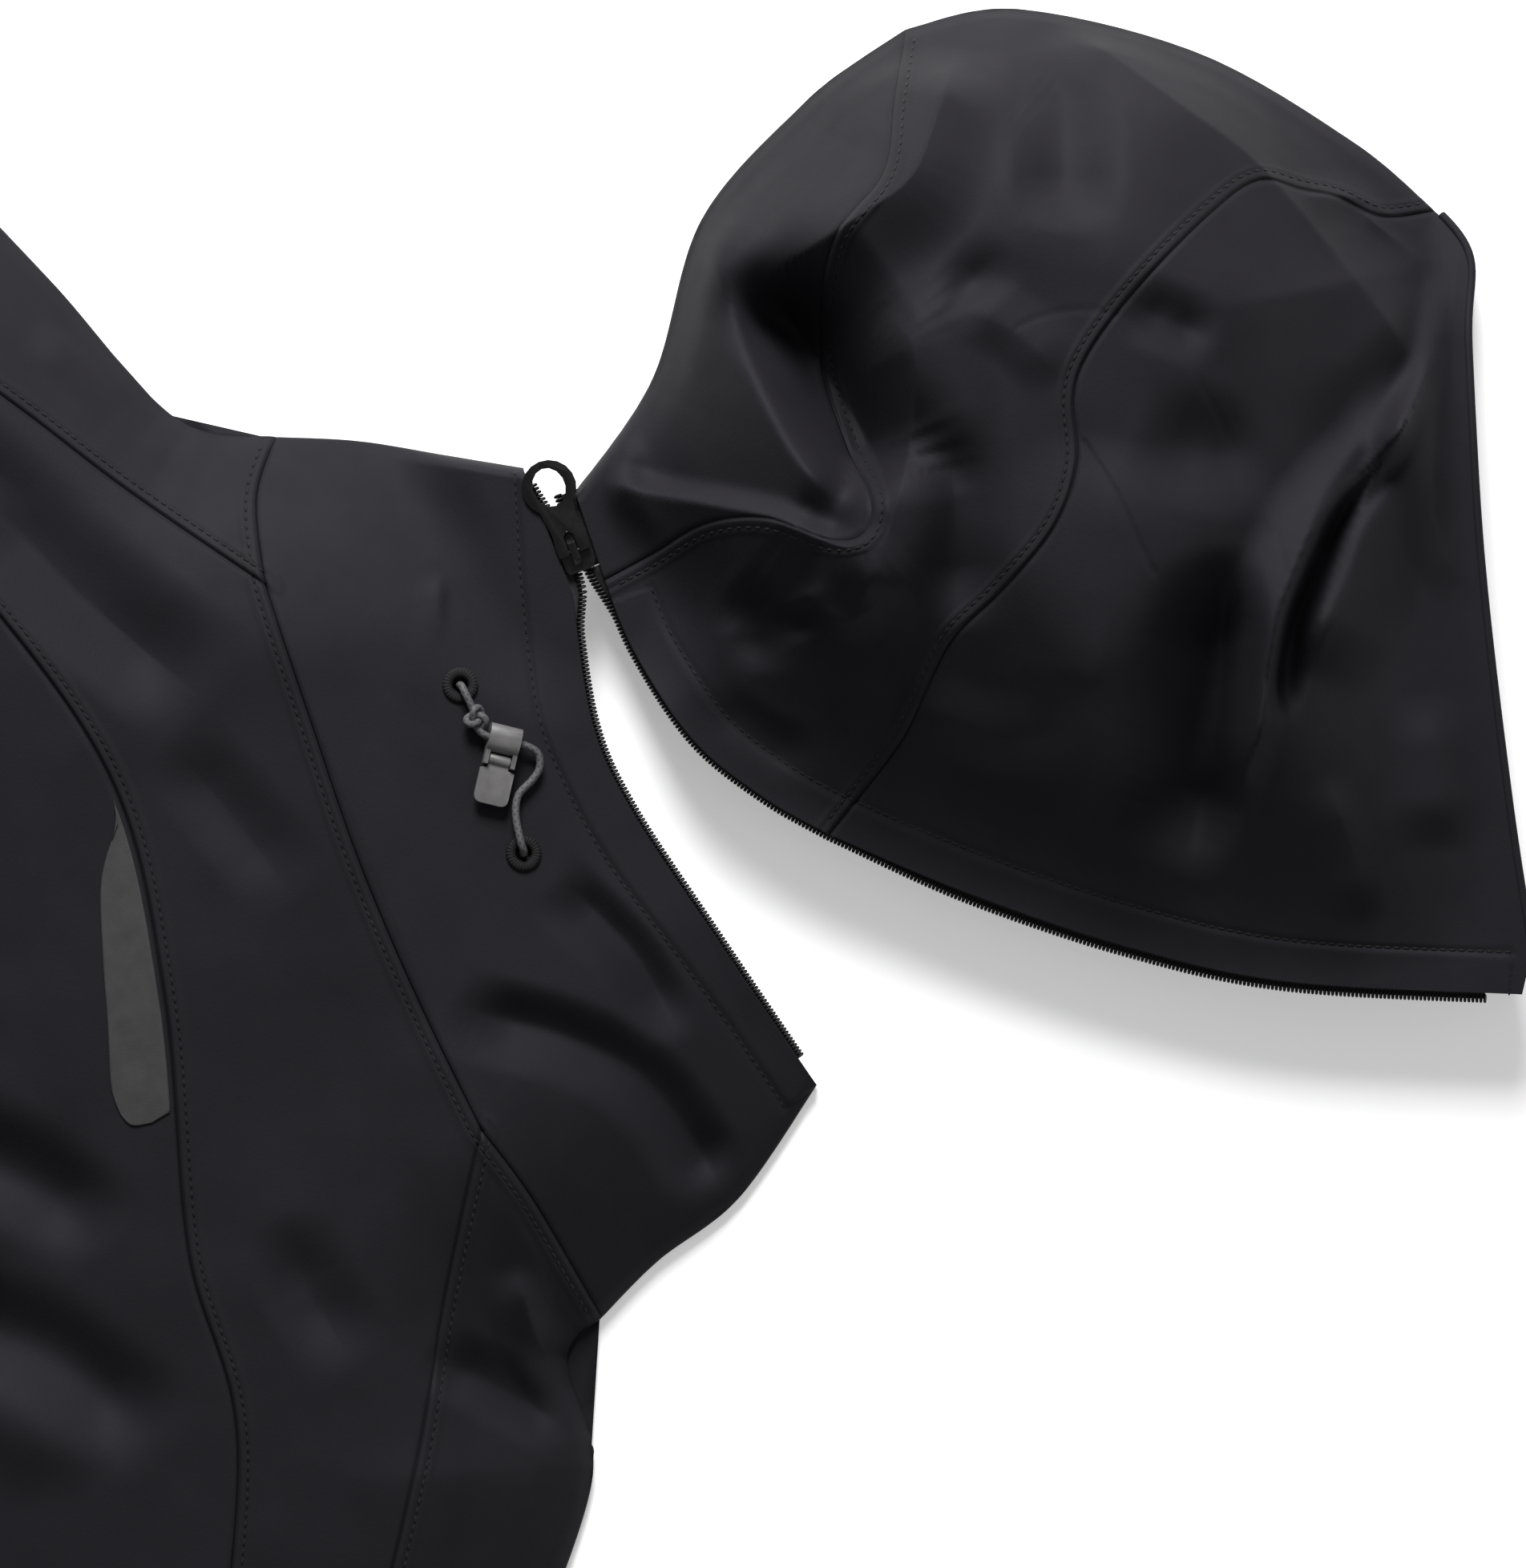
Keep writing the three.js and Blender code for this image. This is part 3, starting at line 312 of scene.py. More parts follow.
@dataclass
class Lie:
    """How one layer of the jacket lies: its plain height, and what folds and seams add."""

    plain: Callable[[Array, Array], Array]
    calm: Callable[[Array, Array], Array]
    folds: tuple[Fold, ...] = ()
    seams: tuple[Seam | Topstitch, ...] = ()
    uneven: float = 0.8
    size: float = 42.0
    seed: int = 1

    def top(self, x: Array, y: Array) -> Array:
        """Height of the cloth's upper face: plain height, calmed folds and ripples, and seams.

        Above 76 mm the height levels off towards 88, as slack cloth does under its own weight.
        """
        moved = sum((f.rise(x, y) for f in self.folds), np.zeros(np.shape(x)))
        moved = moved + self.uneven * ripple(x, y, self.size, self.seed)
        moved = moved + 0.16 * self.uneven * ripple(x, y, self.size * 0.36, self.seed + 50)
        z = self.plain(x, y) + moved * self.calm(x, y)
        z = np.where(z > 76, 76 + 12 * np.tanh((z - 76) / 12), z)
        return z + sum((s.relief(x, y) for s in self.seams), np.zeros(np.shape(x)))


# ---------------------------------------------------------------- sizes shared with the frame
@dataclass(frozen=True)
class Sizes:
    """The jacket's sizes in millimetres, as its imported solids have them."""

    chest: float = 584
    hem_width: float = 576
    length: float = 700
    hem_drop: float = 14
    shoulder: float = 500
    shoulder_drop: float = 46
    armhole: float = 262
    sleeve: float = 668
    sleeve_angle: float = 57.5
    cuff: float = 116
    collar: float = 88
    front_neck: float = 72
    shell: float = 2.0
    under: float = 1.6
    loft: float = 34
    reach: float = 75
    hem_share: float = 0.6
    cuff_share: float = 0.85
    collar_share: float = 0.42
    hood_loft: float = 78
    hood_reach: float = 85
    hood_edge_share: float = 0.27
    hood_edge_reach: float = 105
    fabric_back: float = 5.4
    chain_z: float = 6.3
    tape_drop: float = 1.15
    edge: float = 2.2
    curl: float = 3.9
    cloth: float = 1.2
    slider_length: float = 13


SIZE = Sizes()


class Outline:
    """The jacket's seams and edges seen from above, round the nape."""

    def __init__(self, s: Sizes) -> None:
        """Works out every curve from the sizes."""
        self.slider = (-66.0, s.collar + s.fabric_back)
        self.collar_top = {LEFT: (-97.0, 88.0), RIGHT: (118.0, 102.0)}
        self.collar_base = {LEFT: (-135.0, 19.0), RIGHT: (161.0, 12.0)}
        base, top = self.collar_base, self.collar_top
        self.neck_mid = spline((-91, 0.5), (-45, -2), (0, -4), (45, -3), (91, 0.5))
        self.collar_edge = chain(
            line(top[LEFT], (-54, 88)), spline((-54, 88), (-15, 79), (15, 80), (63, 90), top[RIGHT]))
        self.collar_side = {
            LEFT: spline(base[LEFT], (-124, 43), (-109, 68), top[LEFT]),
            RIGHT: spline(base[RIGHT], (151, 35), (142, 66), top[RIGHT]),
        }
        self.shoulder_edge = {
            LEFT: spline(base[LEFT], (-152, -8), (-205, -28), self.shoulder_point(s, LEFT)),
            RIGHT: spline(base[RIGHT], (169, -3), (206, -9), self.shoulder_point(s, RIGHT)),
        }
        self.yoke = spline(self.yoke_end(s, LEFT), (-170, -104), (-114, -80), (-49, -66), (18, -76),
                           (93, -98), (157, -107), self.yoke_end(s, RIGHT))
        self.hem = spline(
            (-s.hem_width / 2, -s.length), (-s.hem_width / 4, -s.length - s.hem_drop + 4),
            (0, -s.length - s.hem_drop), (s.hem_width / 4, -s.length - s.hem_drop + 4),
            (s.hem_width / 2, -s.length))
        self.neck_side, self.shoulder_seam, self.side_seam = {}, {}, {}
        self.armhole_low, self.armhole_mid, self.armhole_high = {}, {}, {}
        self.sleeve_out, self.sleeve_in, self.cuff = {}, {}, {}
        self.front_neck, self.front_top, self.front_edge = {}, {}, {}
        for k in SIDES:
            self._side(s, k)
        self._hood(s)

    @staticmethod
    def shoulder_point(s: Sizes, k: int) -> Point:
        """Where the shoulder meets the sleeve's outer edge."""
        return k * s.shoulder / 2, -s.shoulder_drop

    @staticmethod
    def armhole_top(s: Sizes, k: int) -> Point:
        """The outer end of the shoulder seam."""
        return k * (s.shoulder / 2 - 1), -s.shoulder_drop - 59

    @staticmethod
    def yoke_end(s: Sizes, k: int) -> Point:
        """Where the yoke seam meets the armhole."""
        return k * (s.shoulder / 2 + 4), -s.shoulder_drop - 112

    def _side(self, s: Sizes, k: int) -> None:
        """The curves of one side of the body."""
        point, armpit = self.shoulder_point(s, k), (k * s.chest / 2, -s.armhole)
        hem = (k * s.hem_width / 2, -s.length)
        tilt = math.radians(s.sleeve_angle)
        outer = (point[0] + k * s.sleeve * math.cos(tilt), point[1] - s.sleeve * math.sin(tilt))
        turn = math.radians(87.5 - s.sleeve_angle)
        inner = (outer[0] - k * s.cuff * math.cos(turn), outer[1] - s.cuff * math.sin(turn))
        self.neck_side[k] = spline((k * 91, 0.5), (k * 118, 7), self.collar_base[k])
        self.shoulder_seam[k] = spline((k * 91, 0.5), (k * 136, -30), (k * 182, -58), self.armhole_top(s, k))
        self.side_seam[k] = spline(hem, (k * s.chest * 0.486, -s.length * 0.68), armpit)
        self.armhole_low[k] = spline(armpit, (k * (s.shoulder / 2 + 26), -s.armhole + 58), self.yoke_end(s, k))
        self.armhole_mid[k] = line(self.yoke_end(s, k), self.armhole_top(s, k))
        self.armhole_high[k] = line(self.armhole_top(s, k), point)
        self.cuff[k] = line(inner, outer)
        self.sleeve_out[k] = spline(point, self.off_line(point, outer, 0.15, k * 30),
                                    self.off_line(point, outer, 0.43, k * 30),
                                    self.off_line(point, outer, 0.78, k * 11), outer)
        self.sleeve_in[k] = spline(armpit, self.off_line(armpit, inner, 0.5, -k * 6), inner)
        neck = (k * s.fabric_back, -s.front_neck)
        top = (k * s.fabric_back, s.collar - 8 - s.front_neck)
        self.front_neck[k] = spline(self.collar_base[k], (k * 104, -30), (k * 52, 12 - s.front_neck), neck)
        self.front_top[k] = spline(self.collar_top[k], (k * 68, 50), (k * 34, top[1] + 10), top)
        self.front_edge[k] = line(neck, top)

    @staticmethod
    def off_line(a: Point, b: Point, share: float, off: float) -> Point:
        """The point part of the way from a to b, moved to the left of that line."""
        dx, dy = b[0] - a[0], b[1] - a[1]
        long = math.hypot(dx, dy)
        return a[0] + dx * share - dy / long * off, a[1] + dy * share + dx / long * off

    def _hood(self, s: Sizes) -> None:
        """The hood's curves."""
        self.hood_front = line((-84, 100.4), (-54, 98.8))
        self.zip_near = spline((-54, 98.8), (-30, 99), (3, 106), (28, 120), (46, 134.5))
        self.zip_far = spline((46, 134.5), (78, 167), (112, 207), (141, 250), (172, 317))
        self.crown_near = spline((-84, 100.4), (-108, 136), (-149, 169), (-171, 212), (-178, 236))
        self.crown_tip = line((-178, 236), (-181, 251))
        self.crown_far = spline((-181, 251), (-174, 286), (-140, 334), (-96, 369), (-66, 385))
        self.face = spline((-66, 385), (-48, 388), (-22, 376), (40, 355), (114, 335), (162, 324))
        self.face_tip = line((172, 317), (162, 324))
        self.seam_left = spline((-54, 98.8), (-56, 116), (-58, 134), (-52, 152), (-38, 168), (-36, 178), (-46, 184),
                                (-65, 184), (-94, 187), (-122, 202), (-136, 224), (-158, 237), (-181, 251), steps=12)
        self.seam_right = spline((46, 134.5), (29, 163), (17, 177), (4, 191), (-4, 210), (-16, 232), (-32, 246), (-50, 252),
                                 (-61, 261), (-74, 282), (-88, 313), (-93, 332), (-86, 345), (-80, 356), (-70, 367),
                                 (-66, 385), steps=12)


OUT = Outline(SIZE)


class Heights:
    """The plain heights of the two layers and the hood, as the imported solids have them."""

    def __init__(self, s: Sizes, out: Outline) -> None:
        """Keeps the sizes and the edges that the heights are measured from."""
        self.s = s
        self.body_folds = [evenly(c, 9.0) for k in SIDES for c in (
            out.collar_side[k], out.shoulder_edge[k], out.sleeve_out[k], out.sleeve_in[k], out.side_seam[k])]
        self.cuffs = [evenly(out.cuff[k], 20.0) for k in SIDES]
        self.crown = [evenly(c, 8.0) for c in (out.crown_near, out.crown_tip, out.crown_far)]
        self.mouths = [evenly(c, 8.0) for c in (chain(out.zip_near, out.zip_far), out.face)]
        self.closed = np.array([[out.collar_top[LEFT][0], out.slider[1]], [-54.0, out.slider[1]]])
        self.shelf = s.edge + s.loft * s.collar_share

    def shelved(self, z: Array, x: Array, y: Array) -> Array:
        """Level round the closed stretch of the zip, and the given height away from it."""
        return mix(self.shelf, z, smooth((distance(x, y, self.closed) - 18.0) / 30.0))

    def body_under(self, x: Array, y: Array) -> Array:
        """Underside of the upper layer: lift from the folded edges, less at hem, collar and cuffs."""
        s = self.s
        rise = s.loft * lift(distance(x, y, *self.body_folds), s.reach)
        rise = rise * mix(s.hem_share, 1.0, smooth((y + s.length + s.hem_drop) / 130.0))
        rise = rise * mix(1.0, s.collar_share, np.clip(y / s.collar, 0, 1))
        rise = rise * mix(s.cuff_share, 1.0, smooth(distance(x, y, *self.cuffs) / 90.0))
        return self.shelved(s.edge + rise, x, y)

    def hood_under(self, x: Array, y: Array) -> Array:
        """Underside of the hood's upper layer: lift from the crown edge, less at its openings."""
        s = self.s
        rise = s.hood_loft * lift(distance(x, y, *self.crown), s.hood_reach)
        open_share = smooth(soft_distance(x, y, 22.0, *self.mouths) / s.hood_edge_reach)
        return self.shelved(s.edge + rise * mix(s.hood_edge_share, 1.0, open_share), x, y)

    def rolled(self, z: Array, off: Array) -> Array:
        """Cloth rounding over at a folded edge: a quarter round down to just over the lower layer."""
        low, radius = 2.3, 4.5
        return low + (z - low) * np.sqrt(np.clip(1 - (1 - np.minimum(off / radius, 1)) ** 2, 0, 1))

    def body_top(self, x: Array, y: Array) -> Array:
        """Upper face of the upper layer."""
        return self.rolled(self.body_under(x, y) + self.s.shell, distance(x, y, *self.body_folds))

    def hood_top(self, x: Array, y: Array) -> Array:
        """Upper face of the hood."""
        return self.rolled(self.hood_under(x, y) + self.s.shell, distance(x, y, *self.crown))

    def lower_top(self, x: Array, y: Array) -> Array:
        """Upper face of the lower layer, which rises a little from its folded edges."""
        return self.s.under + self.s.curl * smooth(distance(x, y, *self.body_folds) / 48.0)

    def body_calm(self, x: Array, y: Array) -> Array:
        """Folds fade at the folded edges, the zip, the adjuster, the patch and the hem's band."""
        free = smooth((distance(x, y, *self.body_folds) - 1.5) / 16.0)
        free = free * smooth((distance(x, y, self.closed) - 12.0) / 22.0)
        adjuster = np.array([[-44.0, 45.0], [-19.0, 52.0], [20.0, 44.0]])
        free = free * smooth((distance(x, y, adjuster) - 9.0) / 16.0)
        patch = np.array([[-34.0, -74.0], [8.0, -84.0], [48.0, -97.0]])
        return free * mix(0.35, 1.0, smooth((distance(x, y, patch) - 10.0) / 18.0))

    def hood_calm(self, x: Array, y: Array) -> Array:
        """Folds fade at the crown edge, the zip and the face opening."""
        free = smooth((distance(x, y, *self.crown) - 0.5) / 12.0)
        free = free * smooth((distance(x, y, self.closed) - 10.0) / 16.0)
        return free * mix(0.12, 1.0, smooth((soft_distance(x, y, 6.0, *self.mouths) - 4.0) / 22.0))


HEIGHT = Heights(SIZE, OUT)


def nape() -> Array:
    """The nape's place in the frame in millimetres, from the hood slider, which stands at a known place."""
    low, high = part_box("hood_slider")
    middle = (np.array(low) + np.array(high)) / 2 / MM
    return np.array([middle[0] - OUT.slider[0], middle[1] - OUT.slider[1], 0.0])


# ---------------------------------------------------------------- finishes
class Slot(Enum):
    """The record's material slots."""

    SHELL = "shell"
    LINING = "lining"
    TAPE = "zip_tape"
    METAL = "zip_metal"
    LOCK = "lock_plastic"
    CORD = "cord"
    RUBBER = "rubber_trim"
    REFLECTIVE = "reflective"


class Board:
    """A material's nodes, with short calls to add and join them."""

    def __init__(self, name: str) -> None:
        """Starts an empty node tree that ends in one shader."""
        self.material = bpy.data.materials.new(name)
        self.material.use_nodes = True
        self.tree = self.material.node_tree
        self.tree.nodes.clear()
        self.shader = self.add("BsdfPrincipled")
        out = self.add("OutputMaterial")
        self.tree.links.new(self.shader.outputs[0], out.inputs[0])
        self.coords = self.add("TexCoord")

    def add(self, kind: str, **values: object) -> bpy.types.Node:
        """Adds a node; a value whose name is a property sets that, and any other sets an input."""
        node = self.tree.nodes.new("ShaderNode" + kind)
        for key, value in values.items():
            if hasattr(node, key):
                setattr(node, key, value)
            else:
                node.inputs[key.replace("_", " ").capitalize()].default_value = value
        return node

    def join(self, a: bpy.types.Node, out: int | str, b: bpy.types.Node, into: int | str) -> None:
        """Joins one node's output to another's input."""
        self.tree.links.new(a.outputs[out], b.inputs[into])

    def noise(self, scale: float, detail: float = 3.0, stretch: tuple = (1, 1, 1), space: str = "Object") -> bpy.types.Node:
        """A noise pattern with features of one over scale metres."""
        place = self.add("Mapping")
        place.inputs["Scale"].default_value = stretch
        self.join(self.coords, space, place, 0)
        node = self.add("TexNoise", Scale=scale, Detail=detail)
        self.join(place, 0, node, "Vector")
        return node

    def tint(self, pattern: bpy.types.Node, low: tuple, high: tuple, start: float = 0.35, end: float = 0.65) -> None:
        """Colours the shader between two colours by a pattern."""
        ramp = self.add("ValToRGB")
        ramp.color_ramp.elements[0].position, ramp.color_ramp.elements[1].position = start, end
        ramp.color_ramp.elements[0].color = (*low, 1)
        ramp.color_ramp.elements[1].color = (*high, 1)
        self.join(pattern, 0, ramp, 0)
        self.join(ramp, 0, self.shader, "Base Color")

    def rough(self, pattern: bpy.types.Node, low: float, high: float) -> None:
        """Sets the roughness between two values by a pattern."""
        span = self.add("MapRange")
        span.inputs["To Min"].default_value, span.inputs["To Max"].default_value = low, high
        self.join(pattern, 0, span, 0)
        self.join(span, 0, self.shader, "Roughness")

    def bump(self, *layers: tuple[bpy.types.Node, float]) -> None:
        """Bumps by patterns, each with its height in metres, one over the other."""
        last = None
        for pattern, height in layers:
            node = self.add("Bump", Strength=1.0, Distance=height)
            self.join(pattern, 0, node, "Height")
            if last is not None:
                self.join(last, 0, node, "Normal")
            last = node
        self.join(last, 0, self.shader, "Normal")

    def weave(self, pitch: float, space: str = "Object", turn: float = 0.0) -> bpy.types.Node:
        """A plain weave: two sets of waves a thread apart, the larger of the two at each point."""
        waves = []
        for axis in ("X", "Y"):
            place = self.add("Mapping")
            place.inputs["Rotation"].default_value = (0, 0, turn)
            self.join(self.coords, space, place, 0)
            wave = self.add("TexWave", bands_direction=axis, Scale=math.pi / 10 / pitch * 2, Distortion=0.4, Detail=1.0)
            self.join(place, 0, wave, "Vector")
            waves.append(wave)
        both = self.add("Math", operation="MAXIMUM")
        self.join(waves[0], "Fac", both, 0)
        self.join(waves[1], "Fac", both, 1)
        return both


@dataclass(frozen=True)
class ClothFinish:
    """Woven cloth: mottled colour, a fine weave and a faint grain."""

    name: str
    dark: tuple[float, float, float]
    light: tuple[float, float, float]
    rough: tuple[float, float] = (0.5, 0.64)
    pitch: float = 0.0006
    weave_height: float = 0.00002
    sheen: float = 0.0
    specular: float = 0.5

    def make(self) -> bpy.types.Material:
        """Builds the material."""
        b = Board(self.name)
        b.tint(b.noise(38, 5), self.dark, self.light, 0.3, 0.72)
        b.rough(b.noise(90, 4), *self.rough)
        b.bump((b.weave(self.pitch), self.weave_height), (b.noise(900, 4), 0.00006))
        b.shader.inputs["Specular IOR Level"].default_value = self.specular
        b.shader.inputs["Sheen Weight"].default_value = self.sheen
        b.shader.inputs["Sheen Roughness"].default_value = 0.45
        return b.material


@dataclass(frozen=True)
class HardFinish:
    """Enamel, moulded plastic or rubber: colour with slight clouding, fine grain, a clear coat or not."""

    name: str
    dark: tuple[float, float, float]
    light: tuple[float, float, float]
    rough: tuple[float, float]
    grain: float = 0.00002
    grain_scale: float = 1800.0
    coat: float = 0.0
    metallic: float = 0.0
    specular: float = 0.5

    def make(self) -> bpy.types.Material:
        """Builds the material."""
        b = Board(self.name)
        b.tint(b.noise(260, 5), self.dark, self.light, 0.3, 0.7)
        b.rough(b.noise(520, 5, (1, 1, 3)), *self.rough)
        b.bump((b.noise(self.grain_scale, 3), self.grain))
        for key, value in (("Coat Weight", self.coat), ("Coat Roughness", 0.12),
                           ("Metallic", self.metallic), ("Specular IOR Level", self.specular)):
            b.shader.inputs[key].default_value = value
        return b.material


@dataclass(frozen=True)
class BraidFinish:
    """A braided cord: two sets of slanting strands in the tube's own map."""

    name: str
    dark: tuple[float, float, float]
    light: tuple[float, float, float]
    strands: float = 12.0
    pitch: float = 0.0011

    def make(self) -> bpy.types.Material:
        """Builds the material: the map's first number goes round, its second along in metres."""
        b = Board(self.name)
        waves = []
        for slant in (1.0, -1.0):
            place = b.add("Mapping")
            place.inputs["Scale"].default_value = (self.strands / 2, slant / self.pitch, 1)
            b.join(b.coords, "UV", place, 0)
            wave = b.add("TexWave", bands_direction="DIAGONAL", Scale=math.pi / 10 * 1.0, Distortion=0.3)
            b.join(place, 0, wave, "Vector")
            waves.append(wave)
        both = b.add("Math", operation="MAXIMUM")
        b.join(waves[0], "Fac", both, 0)
        b.join(waves[1], "Fac", both, 1)
        b.tint(both, self.dark, self.light, 0.2, 0.95)
        b.rough(b.noise(1200, 3), 0.6, 0.8)
        b.bump((both, 0.00007), (b.noise(5200, 2), 0.00003))
        return b.material


@dataclass(frozen=True)
class FilmFinish:
    """A satin film of fine glass beads, with faint cross lines."""

    name: str
    dark: tuple[float, float, float]
    light: tuple[float, float, float]

    def make(self) -> bpy.types.Material:
        """Builds the material."""
        b = Board(self.name)
        b.tint(b.noise(140, 6), self.dark, self.light, 0.3, 0.7)
        b.rough(b.noise(400, 3), 0.42, 0.55)
        beads = b.add("TexVoronoi", Scale=3400)
        b.join(b.coords, "Object", beads, "Vector")
        b.bump((beads, 0.00002), (b.weave(0.0011, turn=0.3), 0.000015))
        b.shader.inputs["Metallic"].default_value = 0.25
        return b.material


class Finishes:
    """Every finish of the jacket, made once."""

    def __init__(self) -> None:
        """Builds the materials."""
        self.shell = ClothFinish("softshell_cloth", (0.0098, 0.0091, 0.0117), (0.0124, 0.0116, 0.0146), (0.62, 0.72),
                                 specular=0.09).make()
        self.lining = ClothFinish("brushed_lining", (0.020, 0.0195, 0.023), (0.034, 0.033, 0.038), (0.85, 0.95),
                                  0.0016, 0.00012, 0.3, 0.2).make()
        self.tape = ClothFinish("woven_tape", (0.006, 0.006, 0.0065), (0.011, 0.011, 0.012), (0.6, 0.75), 0.0009,
                                0.00008, 0.0, 0.4).make()
        self.thread = ClothFinish("sewing_thread", (0.0025, 0.0024, 0.003), (0.009, 0.0087, 0.0100), (0.55, 0.68), 0.0005,
                                  0.00005, 0.02, 0.2).make()
        self.coil = HardFinish("nylon_coil", (0.0035, 0.0035, 0.004), (0.008, 0.008, 0.009), (0.4, 0.5),
                               specular=0.25).make()
        self.enamel = HardFinish("gloss_enamel", (0.0012, 0.0012, 0.0013), (0.003, 0.003, 0.0032), (0.26, 0.36),
                                 0.000006, 2600, 0.12, specular=0.3).make()
        self.lock = HardFinish("moulded_grey", (0.082, 0.079, 0.081), (0.112, 0.108, 0.111), (0.42, 0.55), 0.00003).make()
        self.cord = BraidFinish("braided_elastic", (0.036, 0.035, 0.038), (0.070, 0.068, 0.073)).make()
        self.rubber = HardFinish("moulded_rubber", (0.014, 0.014, 0.015), (0.023, 0.023, 0.025), (0.55, 0.7), 0.00005).make()
        self.film = FilmFinish("reflective_film", (0.034, 0.034, 0.035), (0.045, 0.045, 0.046)).make()


# ---------------------------------------------------------------- meshes
@dataclass
class Maker:
    """Turns arrays in millimetres round the nape into pieces that ride on the frame."""

    origin: Array
    made: list[str] = field(default_factory=list)

    def piece(self, name: str, verts: Array, faces: Array | list, material: bpy.types.Material, body: str,
              slot: Slot, nodes: Sequence[str] = (), uv: Array | None = None, place: bool = True) -> bpy.types.Object:
        """Makes a smooth piece.

        Args:
            name: the piece's name.
            verts: its points, in millimetres round the nape, or in the frame's own metres.
            faces: its faces as rows of indices.
            material: its finish.
            body: the body it rides on.
            slot: the record's slot for its finish; not used.
            nodes: the frame's nodes that it stands for.
            uv: a map point for each vertex.
            place: whether the points still need the move to the frame.
        Returns:
            The object.
        """
        mesh = bpy.data.meshes.new(name)
        co = (np.asarray(verts, float) + self.origin) * MM if place else np.asarray(verts, float)
        mesh.from_pydata(co.tolist(), [], faces.tolist() if isinstance(faces, np.ndarray) else faces)
        if uv is not None:
            layer = mesh.uv_layers.new(name="map")
            loops = np.empty(len(mesh.loops), np.int32)
            mesh.loops.foreach_get("vertex_index", loops)
            layer.data.foreach_set("uv", uv[loops].astype(np.float32).ravel())
        mesh.materials.append(material)
        mesh.polygons.foreach_set("use_smooth", np.ones(len(mesh.polygons), bool))
        mesh.validate()
        obj = bpy.data.objects.new(name, mesh)
        bpy.context.scene.collection.objects.link(obj)
        self.finish(obj, body, slot, nodes)
        return obj

    def finish(self, obj: bpy.types.Object, body: str, slot: Slot, nodes: Sequence[str] = ()) -> None:
        """Lets a piece ride and hides the nodes that it stands for."""
        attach(obj, body)
        if nodes:
            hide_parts(*nodes)
        self.made.append(obj.name)
        log.info("%s: %d faces on %s", obj.name, len(obj.data.polygons), body)


def grid_faces(rows: int, columns: int, flip: bool = False) -> Array:
    """Quads of a grid whose points run along each row."""
    k = np.arange(rows * columns).reshape(rows, columns)
    quads = np.stack([k[:-1, :-1], k[:-1, 1:], k[1:, 1:], k[1:, :-1]], -1).reshape(-1, 4)
    return quads[:, ::-1] if flip else quads


def slab(points: Array, thick: float, flip: bool) -> tuple[Array, Array, int]:
    """A grid of points with a second grid under it, and a rim that joins the two.

    The second grid lies the thickness back along the surface's direction at each point, which is the
    cross product of the grid's two gradients.

    Args:
        points: rows of points.
        thick: the cloth's thickness.
        flip: whether the faces must be turned over to look out.
    Returns:
        Points, faces, and how many faces there are before the rim's.
    """
    out = np.cross(np.gradient(points, axis=1), np.gradient(points, axis=0))
    out /= np.maximum(np.linalg.norm(out, axis=-1, keepdims=True), 1e-9)
    under = points - out * (-thick if flip else thick)
    rows, columns = points.shape[:2]
    upper = grid_faces(rows, columns, flip)
    k = np.arange(rows * columns).reshape(rows, columns)
    ring = np.concatenate([k[0, :-1], k[:-1, -1], k[-1, :0:-1], k[:0:-1, 0]])
    after, base = np.roll(ring, -1), rows * columns
    rim = np.stack([ring, ring + base, after + base, after], -1)
    rim = rim[:, ::-1] if flip else rim
    faces = np.concatenate([upper, upper[:, ::-1] + base, rim])
    return np.concatenate([points.reshape(-1, 3), under.reshape(-1, 3)]), faces, 2 * len(upper)


def stations(long: float, step: float, fine: float = 0.55, zone: float = 6.0) -> Array:
    """Shares of a length: a fine step in the zone beside each end, and a coarser one between.

    The spacing is one over a density that falls from 1/fine at the ends to 1/step past the zone.
    """
    run = np.linspace(0, long, 2000)
    end = np.minimum(run, long - run)
    density = mix(1 / fine, 1 / step, smooth((end - zone * 0.5) / zone))
    total = np.concatenate([[0], np.cumsum((density[1:] + density[:-1]) / 2 * np.diff(run))])
    marks = np.linspace(0, total[-1], max(4, int(total[-1]) + 1))
    return np.interp(marks, total, run) / long


